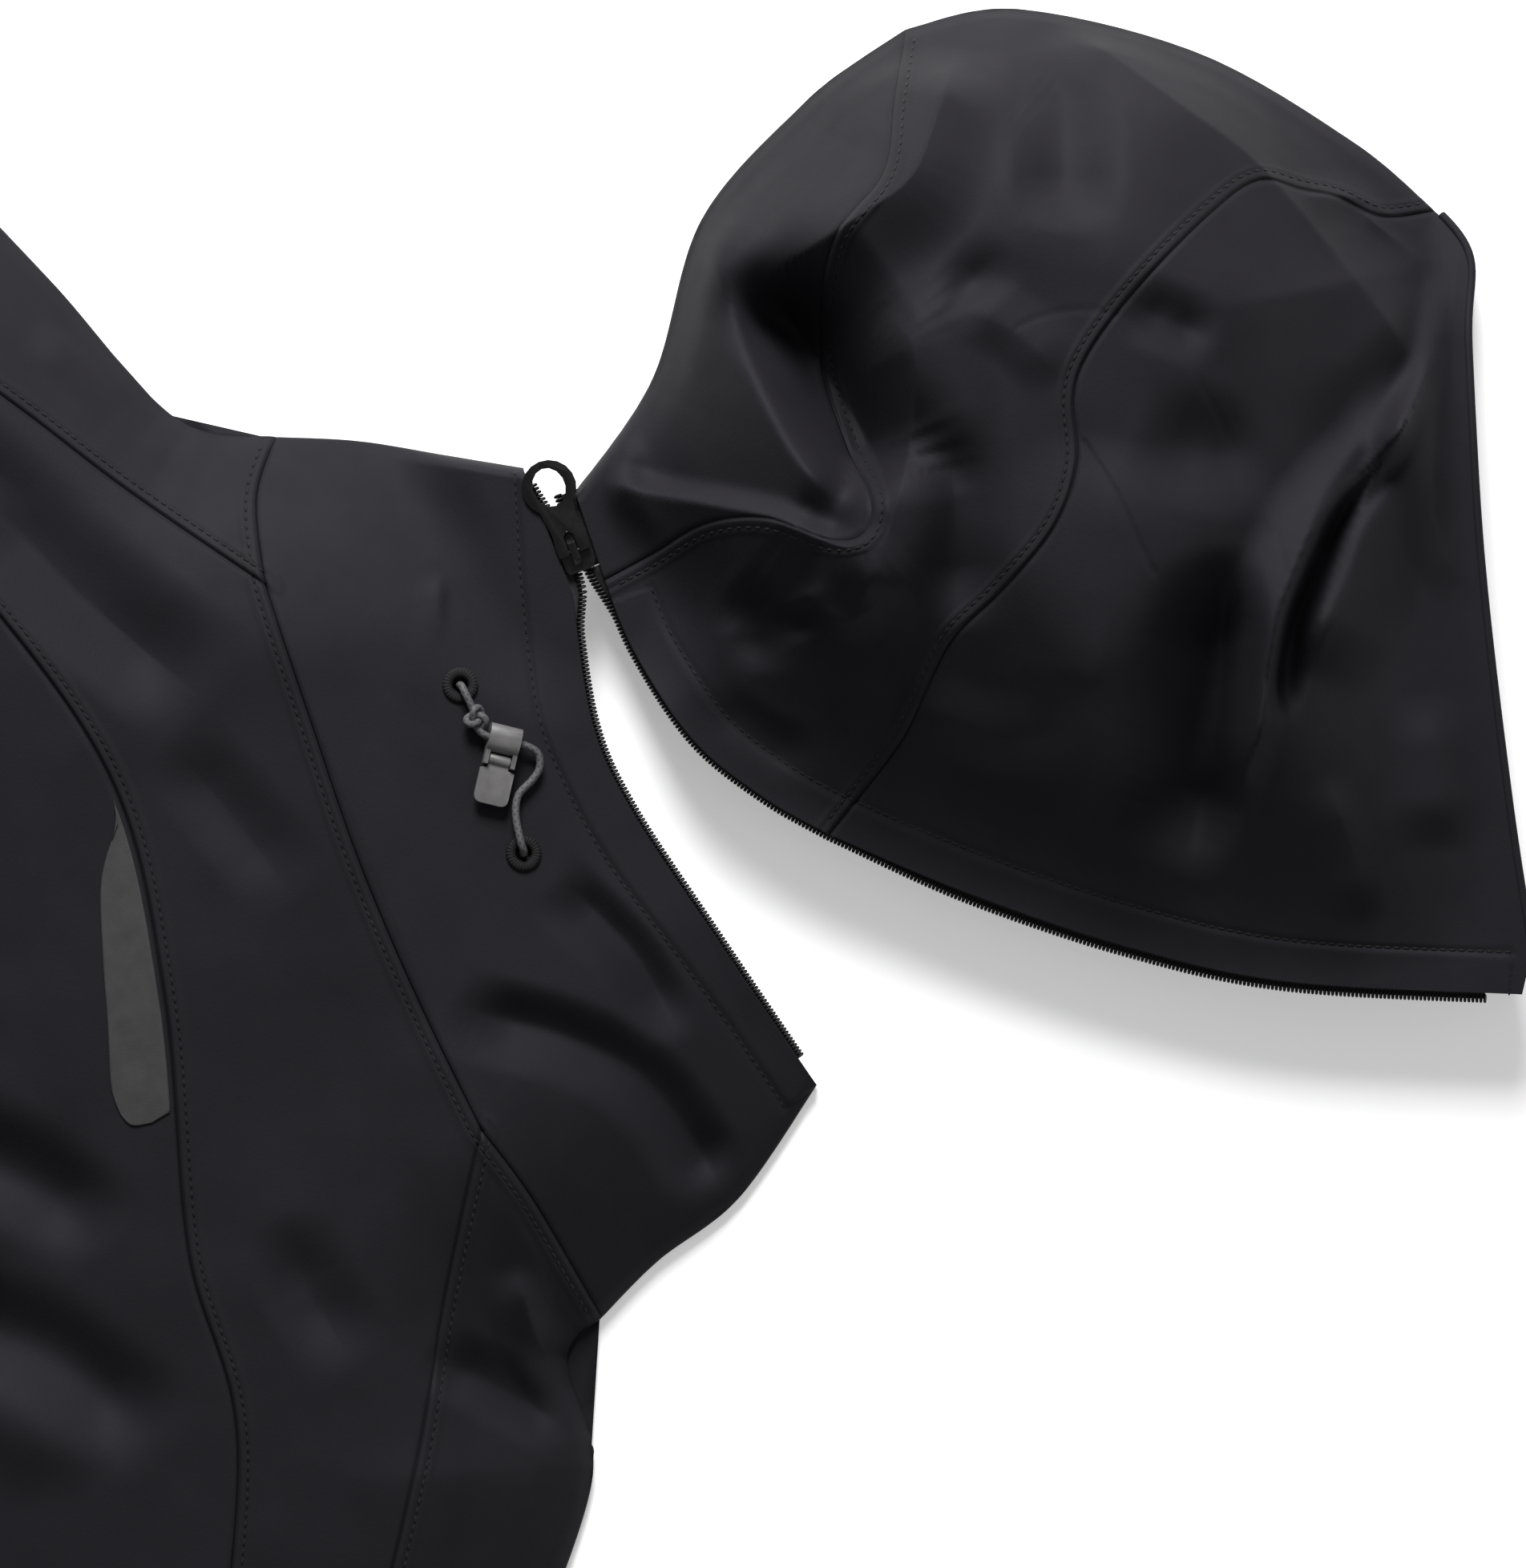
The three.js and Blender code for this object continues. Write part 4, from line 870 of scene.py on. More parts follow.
@dataclass
class Panel:
    """One cut piece of cloth between four curves: low and high run the same way, and so do start and end."""

    name: str
    low: Array
    high: Array
    start: Array
    end: Array
    step: float = 1.35
    fine: float = 0.6

    def grid(self) -> tuple[Array, Array]:
        """Points between the four curves.

        The surface is the flat one through the corners, plus what each edge bends away from its
        straight line, dying away towards the facing edge.
        """
        wide = max(lengths(self.low)[-1], lengths(self.high)[-1])
        tall = max(lengths(self.start)[-1], lengths(self.end)[-1])
        u, v = stations(wide, self.step, self.fine), stations(tall, self.step, self.fine)
        a, b, c, d = at(self.low, u), at(self.high, u), at(self.start, v), at(self.end, v)
        u, v = u[None, :, None], v[:, None, None]
        at_low, at_high = mix(a[0], a[-1], u), mix(b[0], b[-1], u)
        at_start, at_end = mix(c[0], c[-1], v), mix(d[0], d[-1], v)
        bent = (1 - v) ** 1.5 * (a[None] - at_low) + v**1.5 * (b[None] - at_high)
        xy = mix(at_low, at_high, v) + bent + mix(c[:, None] - at_start, d[:, None] - at_end, u)
        return xy[..., 0], xy[..., 1]

    def make(self, maker: Maker, top: Callable[[Array, Array], Array], material: bpy.types.Material, body: str,
             slot: Slot, nodes: Sequence[str], thick: float, down: bool = False) -> bpy.types.Object:
        x, y = self.grid()
        z = top(x, y)
        points = np.stack([x, y, z], -1)
        turn = np.cross(np.diff(points[:-1], axis=1), np.diff(points[:, :-1], axis=0))[..., 2]
        flip = (turn.mean() < 0) != down
        co, faces, flat_from = slab(points, thick, flip)
        obj = maker.piece(self.name, co, faces, material, body, slot, nodes)
        even = np.ones(len(faces), bool)
        even[flat_from:] = False
        obj.data.polygons.foreach_set("use_smooth", even)
        area = np.linalg.norm(np.cross(np.diff(points[:-1], axis=1), np.diff(points[:, :-1], axis=0)), axis=-1).sum()
        size = np.array([np.ptp(x), np.ptp(y)])
        share = area / size.prod()
        size = size * math.sqrt(share / np.clip(share, 0.45, 0.97)) * MM
        return obj


def tube(path: Array, radius: float | Array, sides: int = 10) -> tuple[Array, Array, Array]:
    """A closed round tube along a path, with its ends drawn in.

    Each ring is the path's point plus the radius times a circle in the plane square to the path. The
    circle's first direction is carried along without twist, by taking out of it what lies along the path.

    Args:
        path: points of the centre line.
        radius: one radius or one for each point.
        sides: points round.
    Returns:
        Points, faces and a map of turns round and metres along.
    """
    run = np.gradient(path, axis=0)
    run /= np.linalg.norm(run, axis=1, keepdims=True)
    first = np.cross(run, [0.0, 0.0, 1.0])
    weak = np.linalg.norm(first, axis=1) < 0.25
    first[weak] = np.cross(run[weak], [0.35, 0.9, 0.0])
    first /= np.linalg.norm(first, axis=1, keepdims=True)
    for i in range(1, len(first)):
        carried = first[i - 1] - run[i] * (first[i - 1] @ run[i])
        first[i] = carried / np.linalg.norm(carried)
    second = np.cross(run, first)
    angle = np.linspace(0, 2 * math.pi, sides, endpoint=False)
    circle = first[:, None] * np.cos(angle)[None, :, None] + second[:, None] * np.sin(angle)[None, :, None]
    rings = path[:, None] + circle * np.broadcast_to(radius, len(path))[:, None, None]
    count = len(path)
    k = np.arange(count * sides).reshape(count, sides)
    nxt = np.roll(k, -1, axis=1)
    quads = np.stack([k[:-1], nxt[:-1], nxt[1:], k[1:]], -1).reshape(-1, 4)
    faces = quads.tolist() + [k[0, ::-1].tolist(), k[-1].tolist()]
    uv = np.stack(np.broadcast_arrays(np.arange(sides)[None] / sides, lengths(path)[:, None] * MM), -1).reshape(-1, 2)
    return rings.reshape(-1, 3), faces, uv


def beads(centres: Array, along: Array, up: Array, size: tuple[float, float, float],
          sides: int = 6) -> tuple[Array, Array]:
    """Many small rounded bars, such as stitches or zip teeth, as one mesh.

    A bar is a ball of three rings and two tips, stretched to its length, width and height, so that it
    has 4 rows of faces. All bars share it, each turned to its own directions.

    Args:
        centres: the middle of each bar.
        along: unit vectors along each bar.
        up: vectors out of the cloth.
        size: length, width and height.
        sides: points in a ring.
    Returns:
        Points and faces.
    """
    across = np.cross(up, along)
    across /= np.linalg.norm(across, axis=1, keepdims=True)
    out = np.cross(along, across)
    angle = np.linspace(0, 2 * math.pi, sides, endpoint=False)
    rings = [(-0.36, 0.82), (0.0, 1.0), (0.36, 0.82)]
    shape = [(-0.5, 0.0, 0.0)]
    for place, girth in rings:
        shape += [(place, 0.5 * girth * math.cos(a), 0.5 * girth * math.sin(a)) for a in angle]
    shape = np.array(shape + [(0.5, 0.0, 0.0)]) * size
    points = (centres[:, None] + along[:, None] * shape[None, :, :1] + across[:, None] * shape[None, :, 1:2]
              + out[:, None] * shape[None, :, 2:])
    one = []
    for j in range(sides):
        n = (j + 1) % sides
        one += [[0, 1 + n, 1 + j, 1 + j]]
        one += [[1 + r * sides + j, 1 + r * sides + n, 1 + (r + 1) * sides + n, 1 + (r + 1) * sides + j] for r in (0, 1)]
        one += [[1 + 2 * sides + j, 1 + 2 * sides + n, 1 + 3 * sides, 1 + 3 * sides]]
    one = np.array(one)
    faces = (one[None] + np.arange(len(centres))[:, None, None] * len(shape)).reshape(-1, 4)
    rows = [f[:3] if f[2] == f[3] else f for f in faces.tolist()]
    return points.reshape(-1, 3), rows


def joined(parts: list[tuple[Array, list]]) -> tuple[Array, list]:
    """Several meshes as one."""
    points, faces, base = [], [], 0
    for co, rows in parts:
        points.append(co)
        faces += [[i + base for i in row] for row in rows]
        base += len(co)
    return np.concatenate(points), faces


def stitches(path: Array, top: Callable[[Array, Array], Array], pitch: float = 2.9, long: float = 2.2,
             thick: float = 0.85) -> tuple[Array, list]:
    """A dashed row of stitches along a path on the cloth, each lying on the slope under it."""
    way = evenly(path, pitch)
    middle = (way[1:] + way[:-1]) / 2
    run = np.diff(way, axis=0)
    run /= np.linalg.norm(run, axis=1, keepdims=True)
    ends = [top(*(middle + run * k * long / 2).T) for k in (-1, 1)]
    z = top(*middle.T)
    along = np.column_stack([run, (ends[1] - ends[0]) / long])
    along /= np.linalg.norm(along, axis=1, keepdims=True)
    side = np.stack([-run[:, 1], run[:, 0]], 1)
    tilt = (top(*(middle + side * 0.8).T) - top(*(middle - side * 0.8).T)) / 1.6
    up = np.cross(along, np.column_stack([side, tilt]))
    centres = np.column_stack([middle, z + 0.08])
    return beads(centres, along, up, (long, thick, thick * 0.7))


def rounded_copy(maker: Maker, frame: dict, node: str, name: str, material: bpy.types.Material, body: str,
                 slot: Slot, width: float, segments: int = 2) -> bpy.types.Object:
    """A merged copy of a hard node with its edges rounded over.

    Args:
        maker: makes the piece ride.
        frame: the loaded frame.
        node: the node that is copied and replaced.
        name: the new piece's name.
        material: its finish.
        body: the body it rides on.
        slot: the record's slot; not used.
        width: how far the rounding reaches, in millimetres.
        segments: facets of the rounding.
    Returns:
        The object.
    """
    mesh = frame["nodes"][node].data.copy()
    mesh.name = name
    work = bmesh.new()
    work.from_mesh(mesh)
    bmesh.ops.remove_doubles(work, verts=work.verts, dist=2e-6)
    bmesh.ops.dissolve_limit(work, angle_limit=math.radians(1.5), verts=work.verts, edges=work.edges)
    bmesh.ops.recalc_face_normals(work, faces=work.faces)
    work.to_mesh(mesh)
    work.free()
    mesh.materials.clear()
    mesh.materials.append(material)
    mesh.polygons.foreach_set("use_smooth", np.ones(len(mesh.polygons), bool))
    obj = bpy.data.objects.new(name, mesh)
    bpy.context.scene.collection.objects.link(obj)
    soft = obj.modifiers.new("rounding", "BEVEL")
    soft.width, soft.segments, soft.limit_method = width * MM, segments, "ANGLE"
    soft.angle_limit, soft.harden_normals = math.radians(35), True
    maker.finish(obj, body, slot, [node])
    return obj


# ---------------------------------------------------------------- zips
@dataclass
class ZipHalf:
    """One side of a coil zip: a woven tape under the cloth's edge and a row of coil loops beyond it.

    The path is the cloth's edge, and outward is to its left. The coil stands its full distance out
    beside the slider, and creeps back to the cloth away from it.
    """

    name: str
    path: Array
    body: str
    nodes: tuple[str, ...]
    full: float = 3.5
    snug: float = 3.5
    near: tuple[float, float] | None = None
    pitch: float = 1.25
    shown: float = 0.0

    def out(self, way: Array) -> Array:
        """How far out the coil's middle stands at each point."""
        if self.near is None:
            return np.full(len(way), self.full)
        off = np.linalg.norm(way[:, :2] - np.array(self.near), axis=1)
        return mix(self.full, self.snug, smooth((off - 7) / 20)) + self.shown * smooth((off - 110) / 60)

    def make(self, maker: Maker, finishes: Finishes) -> None:
        """Builds the tape as a swept strip and the coil as small bars across it."""
        way = evenly(self.path, 2.5)
        left = sideways(way)
        out = self.out(way)
        profile = np.array([(-7.0, 0.28), (-0.6, 0.32), (0.2, 0.3), (0.2, -0.3), (-0.6, -0.32), (-7.0, -0.28)])
        reach = np.where(profile[:, 0] > 0, out[:, None], 0) + profile[:, 0]
        rings = np.concatenate([
            way[:, None, :2] + left[:, None] * reach[..., None],
            (way[:, None, 2:] + profile[None, :, 1:])], -1)
        n, m = len(way), len(profile)
        k = np.arange(n * m).reshape(n, m)
        nxt = np.roll(k, -1, axis=1)
        quads = np.stack([k[:-1], k[1:], nxt[1:], nxt[:-1]], -1).reshape(-1, 4)
        faces = quads.tolist() + [k[0].tolist(), k[-1, ::-1].tolist()]
        maker.piece(self.name + "_tape", rings.reshape(-1, 3), faces, finishes.tape, self.body, Slot.TAPE, self.nodes)
        teeth = evenly(self.path, self.pitch)
        left = sideways(teeth)
        out = self.out(teeth)
        run = np.gradient(teeth, axis=0)
        run /= np.linalg.norm(run, axis=1, keepdims=True)
        across = np.column_stack([left, np.zeros(len(left))])
        parts = []
        for lift_by, tall in ((0.72, 0.75), (-0.72, 0.75)):
            centres = np.column_stack([teeth[:, :2] + left * out[:, None], teeth[:, 2] + lift_by])
            parts.append(beads(centres + run * 0.2 * np.sign(lift_by), across, np.tile([0, 0, 1.0], (len(left), 1)),
                               (2.7, 0.85, tall)))
        tips = np.column_stack([teeth[:, :2] + left * (out[:, None] + 1.15), teeth[:, 2]])
        up_down = np.tile([0, 0, 1.0], (len(left), 1))
        parts.append(beads(tips, up_down, across, (2.1, 0.95, 0.85)))
        points, faces = joined(parts)
        maker.piece(self.name + "_coil", points, faces, finishes.coil, self.body, Slot.TAPE)


# ---------------------------------------------------------------- hood
@dataclass
class Hood:
    """The detachable hood: three upper panels, a lower layer, a bound face edge and its half of the zip."""

    stitch_in: float = 13.0
    binding: float = 2.8

    def folds(self) -> tuple[Fold, ...]:
        """The creases that the hood has fallen into."""
        return (
            Fold(((-168, 263), (-161, 258), (-146, 245), (-131, 231), (-126, 212), (-122, 190), (-117, 166)), 19, 24, 40, 0.8, 22),
            Fold(((-156, 168), (-145, 168), (-119, 167), (-86, 165), (-62, 168), (-46, 178)), 13, 18, 62, 0.85, 16),
            Fold(((-132, 176), (-106, 183), (-80, 188), (-58, 191), (-38, 188)), -36, 32, 24, 0.2, 26),
            Fold(((-98, 208), (-84, 212), (-69, 208), (-50, 197), (-31, 183), (-12, 165)), 14, 28, 18, 0.75, 18),
            Fold(((-30, 154), (-18, 159), (-13, 166), (-16, 178)), 3.5, 10, 9, 0.8, 8),
            Fold(((-26, 150), (-12, 150)), -4, 12, 12, 0.2, 6),
            Fold(((-86, 104), (-75, 120), (-62, 139), (-52, 153), (-42, 163), (-33, 173), (-36, 186)), 10, 8, 36, 0.8, 14),
            Fold(((-96, 124), (-87, 119), (-80, 111)), 3, 8, 8, 0.7, 8),
            Fold(((-156, 290), (-136, 284), (-116, 276), (-98, 266)), -9, 20, 20, 0.15, 20),
            Fold(((-106, 233), (-84, 243)), -5, 16, 16, 0.1, 14),
            Fold(((-74, 276), (-60, 290), (-50, 302)), -6, 13, 13, 0.15, 14),
            Fold(((-92, 228), (-75, 243), (-56, 252)), 5, 14, 12, 0.5, 14),
            Fold(((-62, 214), (-44, 210), (-20, 202), (4, 194)), -9, 20, 18, 0.2, 22),
            Fold(((-36, 266), (-20, 286), (-16, 308)), -7, 22, 22, 0.1, 20),
            Fold(((-166, 292), (-153, 301), (-125, 317), (-96, 335), (-49, 351), (-18, 360)), 11, 26, 52, 0.85, 22),
            Fold(((-18, 360), (-1, 336), (10, 311), (26, 293), (42, 281), (64, 268), (86, 252)), 15, 9, 18, 0.75, 26),
            Fold(((-6, 348), (10, 321), (25, 306), (39, 291), (53, 281), (66, 274)), -13, 10, 9, 0.3, 18),
            Fold(((-46, 382), (-26, 367), (-14, 355), (7, 330), (21, 314), (39, 298), (54, 286)), 13, 30, 9, 0.75, 22),
            Fold(((6, 276), (30, 270), (54, 260), (78, 247), (98, 230)), -20, 15, 38, 0.15, 30),
            Fold(((-34, 262), (-8, 246), (16, 236), (34, 224), (52, 208)), 12, 44, 34, 0.35, 30),
            Fold(((-54, 388), (-32, 375), (-15, 364), (2, 354), (21, 346), (38, 345), (54, 352)), 7, 10, 12, 0.8, 20),
            Fold(((-84, 340), (-78, 362), (-65, 374), (-60, 384)), 3.5, 10, 10, 0.7, 12),
            Fold(((-78, 358), (-62, 368), (-46, 378)), 4, 8, 12, 0.8, 12),
            Fold(((12, 170), (34, 190), (46, 218)), 5, 16, 14, 0.3, 18),
            Fold(((84, 283), (110, 283), (134, 279)), 4, 10, 16, 0.6, 16),
            Fold(((74, 327), (97, 319), (122, 310)), 5, 22, 22, 0.2, 18),
            Fold(((-8, 112), (11, 123), (26, 138)), -5, 14, 10, 0.2, 14),
            Fold(((-38, 132), (-24, 138), (-8, 132)), -5, 13, 13, 0.2, 12),
        )

    def seams(self) -> tuple[Seam | Topstitch, ...]:
        """Its two long seams, the dart and the rows beside the zip."""
        zip_edge = chain(OUT.zip_near, OUT.zip_far)
        dart = spline((-37, 250), (-19, 253), (-2, 254), (8, 255))
        return (
            Seam(OUT.seam_left[::-1], 1),
            Seam(OUT.seam_right, 1),
            Topstitch(beside(part_of(zip_edge, 0.02, 0.99, 4.0), self.stitch_in), -1, 0.35),
            Seam(dart, 1, 40.0, 0.7, 0.0),
        )

    def make(self, maker: Maker, finishes: Finishes) -> None:
        """Builds the hood."""
        lie = Lie(HEIGHT.hood_top, HEIGHT.hood_calm, self.folds(), self.seams(), 0.5, 40, 11)
        panels = (
            Panel("hood_left_cloth", OUT.crown_near, OUT.seam_left, OUT.hood_front, OUT.crown_tip),
            Panel("hood_center_cloth", OUT.zip_near, OUT.crown_far, OUT.seam_left, OUT.seam_right),
            Panel("hood_right_cloth", OUT.zip_far, OUT.face, OUT.seam_right, OUT.face_tip, 1.5),
        )
        for panel, node in zip(panels, ("hood_left_panel", "hood_center_panel", "hood_right_panel")):
            panel.make(maker, lie.top, finishes.shell, "hood", Slot.SHELL, [node], SIZE.cloth)
        lower = Lie(lambda x, y: np.full(np.shape(x), SIZE.under), lambda x, y: np.ones(np.shape(x)), (), (), 0.25, 34, 5)
        Panel("hood_lower_cloth", chain(OUT.hood_front, OUT.zip_near, OUT.zip_far),
              chain(OUT.crown_tip, OUT.crown_far, OUT.face), OUT.crown_near, OUT.face_tip, 3.0, 1.5).make(
            maker, lower.top, finishes.lining, "hood", Slot.SHELL, ["hood_under_panel"], 1.0)
        self._binding(maker, finishes, lie)
        self._zip(maker, finishes, lie)
        rows = [s.stitch_line() for s in self.seams()[:3]]
        points, faces = joined([stitches(r, lie.top) for r in rows])
        maker.piece("hood_stitches", points, faces, finishes.thread, "hood", Slot.SHELL)

    def _binding(self, maker: Maker, finishes: Finishes, lie: Lie) -> None:
        """The bound edge of the face opening: an oval band along the edge."""
        way = part_of(OUT.face, 0.01, 0.99, 2.0)
        way = beside(way, 0.6)
        path = np.column_stack([way, lie.top(*beside(way, -1.5).T) - 0.7])
        points, faces, uv = tube(path, self.binding / 2, 12)
        maker.piece("hood_face_band", points, faces, finishes.shell, "hood", Slot.TAPE, ["hood_face_binding"], uv)

    def _zip(self, maker: Maker, finishes: Finishes, lie: Lie) -> None:
        """The hood's half of the zip from the slider to the loose corner."""
        edge = chain(line((OUT.slider[0] + SIZE.slider_length / 2 + 0.15, 98.8), (-54, 98.8)), OUT.zip_near,
                     part_of(OUT.zip_far, 0.0, 0.95, 2.0))
        edge = evenly(edge, 2.0)[::-1]
        path = np.column_stack([edge, lie.top(*edge.T) - SIZE.shell - SIZE.tape_drop])
        ZipHalf("hood_zip_side", path, "hood", ("hood_zip_tape",), 3.75, 0.2, OUT.slider, shown=1.5).make(
            maker, finishes)


# ---------------------------------------------------------------- body
@dataclass
class Body:
    """The jacket's body and sleeves: upper layer, lower layer, seams and rows of stitches."""

    hem_row: float = 24.0
    cuff_row: float = 20.0

    def folds(self) -> tuple[Fold, ...]:
        """The creases of the upper layer."""
        made = [
            Fold(((-176, -88), (-141, -68), (-113, -56), (-86, -42), (-62, -28)), -9, 26, 22, 0.25, 30),
            Fold(((-190, -108), (-160, -86), (-130, -66)), 5, 16, 20, 0.3, 24),
            Fold(((-76, 52), (-60, 46), (-47, 42)), 1.6, 4, 9, 0.9, 8),
            Fold(((14, 44), (24, 50), (42, 58), (61, 65), (90, 68)), -6, 10, 15, 0.35, 20),
            Fold(((50, 6), (57, 13), (73, 34), (94, 52), (123, 60), (144, 62)), -8, 14, 17, 0.35, 22),
            Fold(((20, -168), (37, -152), (52, -138), (66, -128), (84, -122)), -8, 22, 18, 0.2, 24),
            Fold(((34, -184), (56, -164), (78, -150)), 4, 20, 22, 0.2, 24),
            Fold(((66, -196), (86, -172), (104, -151), (126, -138), (148, -126)), -8, 22, 20, 0.2, 28),
            Fold(((100, -190), (126, -164), (150, -150)), 4, 22, 22, 0.2, 26),
            Fold(((134, -6), (151, -8), (166, -8), (184, -3)), 5, 9, 14, 0.7, 12),
            Fold(((148, -42), (166, -28), (192, -8)), -6, 14, 12, 0.3, 16),
            Fold(((92, -64), (116, -68), (146, -62)), -5, 18, 16, 0.2, 24),
            Fold(((-58, -46), (-30, -36), (4, -26)), -3.5, 18, 16, 0.2, 22),
            Fold(((-196, -38), (-170, -21), (-150, -11), (-136, 2)), 3.5, 12, 14, 0.5, 16),
        ]
        made += [
            Fold(((k * 262, -250), (k * 200, -300), (k * 120, -330)), -8, 30, 26, 0.2, 40) for k in SIDES
        ] + [
            Fold(((k * 270, -300), (k * 205, -350), (k * 130, -372)), 6, 26, 26, 0.35, 40) for k in SIDES
        ] + [
            Fold(((k * 40 - 30, -260), (k * 60 - 20, -380), (k * 50 - 10, -520)), 5 * k, 40, 40, 0.15, 60) for k in SIDES
        ] + [
            Fold(((k * 180, -420), (k * 160, -520), (k * 175, -640)), -6, 34, 34, 0.2, 60) for k in SIDES
        ]
        for k in SIDES:
            made += self._sleeve_folds(k)
        return tuple(made)

    @staticmethod
    def _sleeve_folds(k: int) -> list[Fold]:
        """Creases across one sleeve, at the armhole, the elbow and above the cuff."""
        outer, inner = OUT.sleeve_out[k], OUT.sleeve_in[k]
        made = []
        for share, slant, height, reach in (
                (0.08, 0.10, 6, 20), (0.2, 0.09, -7, 22), (0.33, 0.05, 6, 18), (0.41, -0.04, -8, 16), (0.46, -0.02, 8, 15),
                (0.52, 0.03, -7, 16), (0.60, 0.06, 5, 20), (0.74, 0.04, -5, 18), (0.84, -0.03, 5, 15), (0.9, 0.02, -4, 12)):
            a, b = at(outer, share + slant), at(inner, max(share, 0.01))
            middle = (a + b) / 2 + np.array([6.0 * math.sin(share * 31), 7.0 * math.cos(share * 27)])
            made.append(Fold((tuple(mix(a, b, 0.12)), tuple(middle), tuple(mix(a, b, 0.86))), height, reach, reach, 0.4, 26))
        return made

    def seams(self) -> tuple[Seam | Topstitch, ...]:
        """Neck, shoulder, yoke and armhole seams, and the rows at the collar, hem and cuffs."""
        neck = chain(OUT.neck_side[LEFT][::-1], OUT.neck_mid, OUT.neck_side[RIGHT])
        rows: list[Seam | Topstitch] = [Seam(neck, -1), Seam(OUT.yoke, 1)]
        for k in SIDES:
            rows.append(Seam(OUT.shoulder_seam[k], 1 if k == RIGHT else -1))
            rows.append(Seam(chain(OUT.armhole_low[k], OUT.armhole_mid[k], OUT.armhole_high[k]), -k if k == LEFT else -k))
            rows.append(Topstitch(beside(OUT.cuff[k], k * self.cuff_row), -k))
        rows.append(Topstitch(spline((-97, 85.5), (-61, 73.7), (-23, 64.2), (2, 63.9), (29, 67.4), (63, 76.5), (95, 84.5),
                                     (121, 90)), 1, 0.6))
        rows.append(Topstitch(beside(OUT.hem, self.hem_row), -1))
        return tuple(rows)

    def make(self, maker: Maker, frame: dict, finishes: Finishes) -> Lie:
        """Builds the body.

        Args:
            maker: makes the pieces ride.
            frame: the loaded frame.
            finishes: the materials.
        Returns:
            How the upper layer lies, for what is sewn on it.
        """
        lie = Lie(HEIGHT.body_top, HEIGHT.body_calm, self.folds(), self.seams(), 0.8, 60, 3)
        dimpled = Lie(lambda x, y: HEIGHT.body_top(x, y) - 2.6 * np.exp(-np.minimum(
            np.hypot(x + 40, y - 45), np.hypot(x - 16, y - 44)) ** 6 / 2.5**6), HEIGHT.body_calm, lie.folds, lie.seams,
            0.8, 60, 3)
        neck = chain(OUT.neck_side[LEFT][::-1], OUT.neck_mid, OUT.neck_side[RIGHT])
        ends = {k: chain(OUT.armhole_mid[k], OUT.shoulder_seam[k][::-1]) for k in SIDES}
        sides = {k: chain(OUT.side_seam[k], OUT.armhole_low[k]) for k in SIDES}
        arms = {k: chain(OUT.armhole_low[k], OUT.armhole_mid[k], OUT.armhole_high[k]) for k in SIDES}
        panels = [
            (Panel("collar_back_cloth", neck, OUT.collar_edge, OUT.collar_side[LEFT], OUT.collar_side[RIGHT], 1.2), "collar_back"),
            (Panel("back_yoke_cloth", OUT.yoke, OUT.neck_mid, ends[LEFT], ends[RIGHT], 1.9), "back_yoke"),
            (Panel("back_cloth", OUT.hem, OUT.yoke, sides[LEFT], sides[RIGHT], 3.2, 0.9), "back_panel"),
        ]
        for k in SIDES:
            word = side_name(k)
            panels.append((Panel(f"{word}_front_yoke_cloth", OUT.shoulder_seam[k], OUT.shoulder_edge[k], OUT.neck_side[k],
                                 OUT.armhole_high[k], 1.7), f"{word}_front_yoke"))
            panels.append((Panel(f"{word}_sleeve_cloth", OUT.sleeve_in[k], OUT.sleeve_out[k], arms[k], OUT.cuff[k], 2.8, 0.9),
                           f"{word}_sleeve_upper"))
        for panel, node in panels:
            top = dimpled.top if panel.name == "collar_back_cloth" else lie.top
            panel.make(maker, top, finishes.shell, "jacket", Slot.SHELL, [node], SIZE.cloth)
        rows = [s.stitch_line() for s in lie.seams]
        points, faces = joined([stitches(r, lie.top) for r in rows])
        maker.piece("body_stitches", points, faces, finishes.thread, "jacket", Slot.SHELL)
        self._lower(maker, frame, finishes, arms)
        return lie

    def _lower(self, maker: Maker, frame: dict, finishes: Finishes, arms: dict[int, Array]) -> None:
        """The lower layer: sleeves and collar fronts as panels, fronts as draped copies with pocket slots."""
        lower = Lie(HEIGHT.lower_top, lambda x, y: np.ones(np.shape(x)), (), (), 0.3, 45, 8)
        for k in SIDES:
            word = side_name(k)
            Panel(f"{word}_sleeve_lower_cloth", OUT.sleeve_in[k], OUT.sleeve_out[k], arms[k], OUT.cuff[k], 5.0, 2.5).make(
                maker, lower.top, finishes.shell, "jacket", Slot.SHELL, [f"{word}_sleeve_under"], 1.2)
            Panel(f"{word}_collar_front_cloth", OUT.front_neck[k], OUT.front_top[k], OUT.collar_side[k], OUT.front_edge[k],
                  2.5, 1.5).make(
                maker, lower.top, finishes.lining, "jacket", Slot.SHELL, [f"{word}_collar_front"], 1.2)
            self._draped(maker, frame, f"{word}_front_panel", f"{word}_front_cloth", finishes.shell, lower)

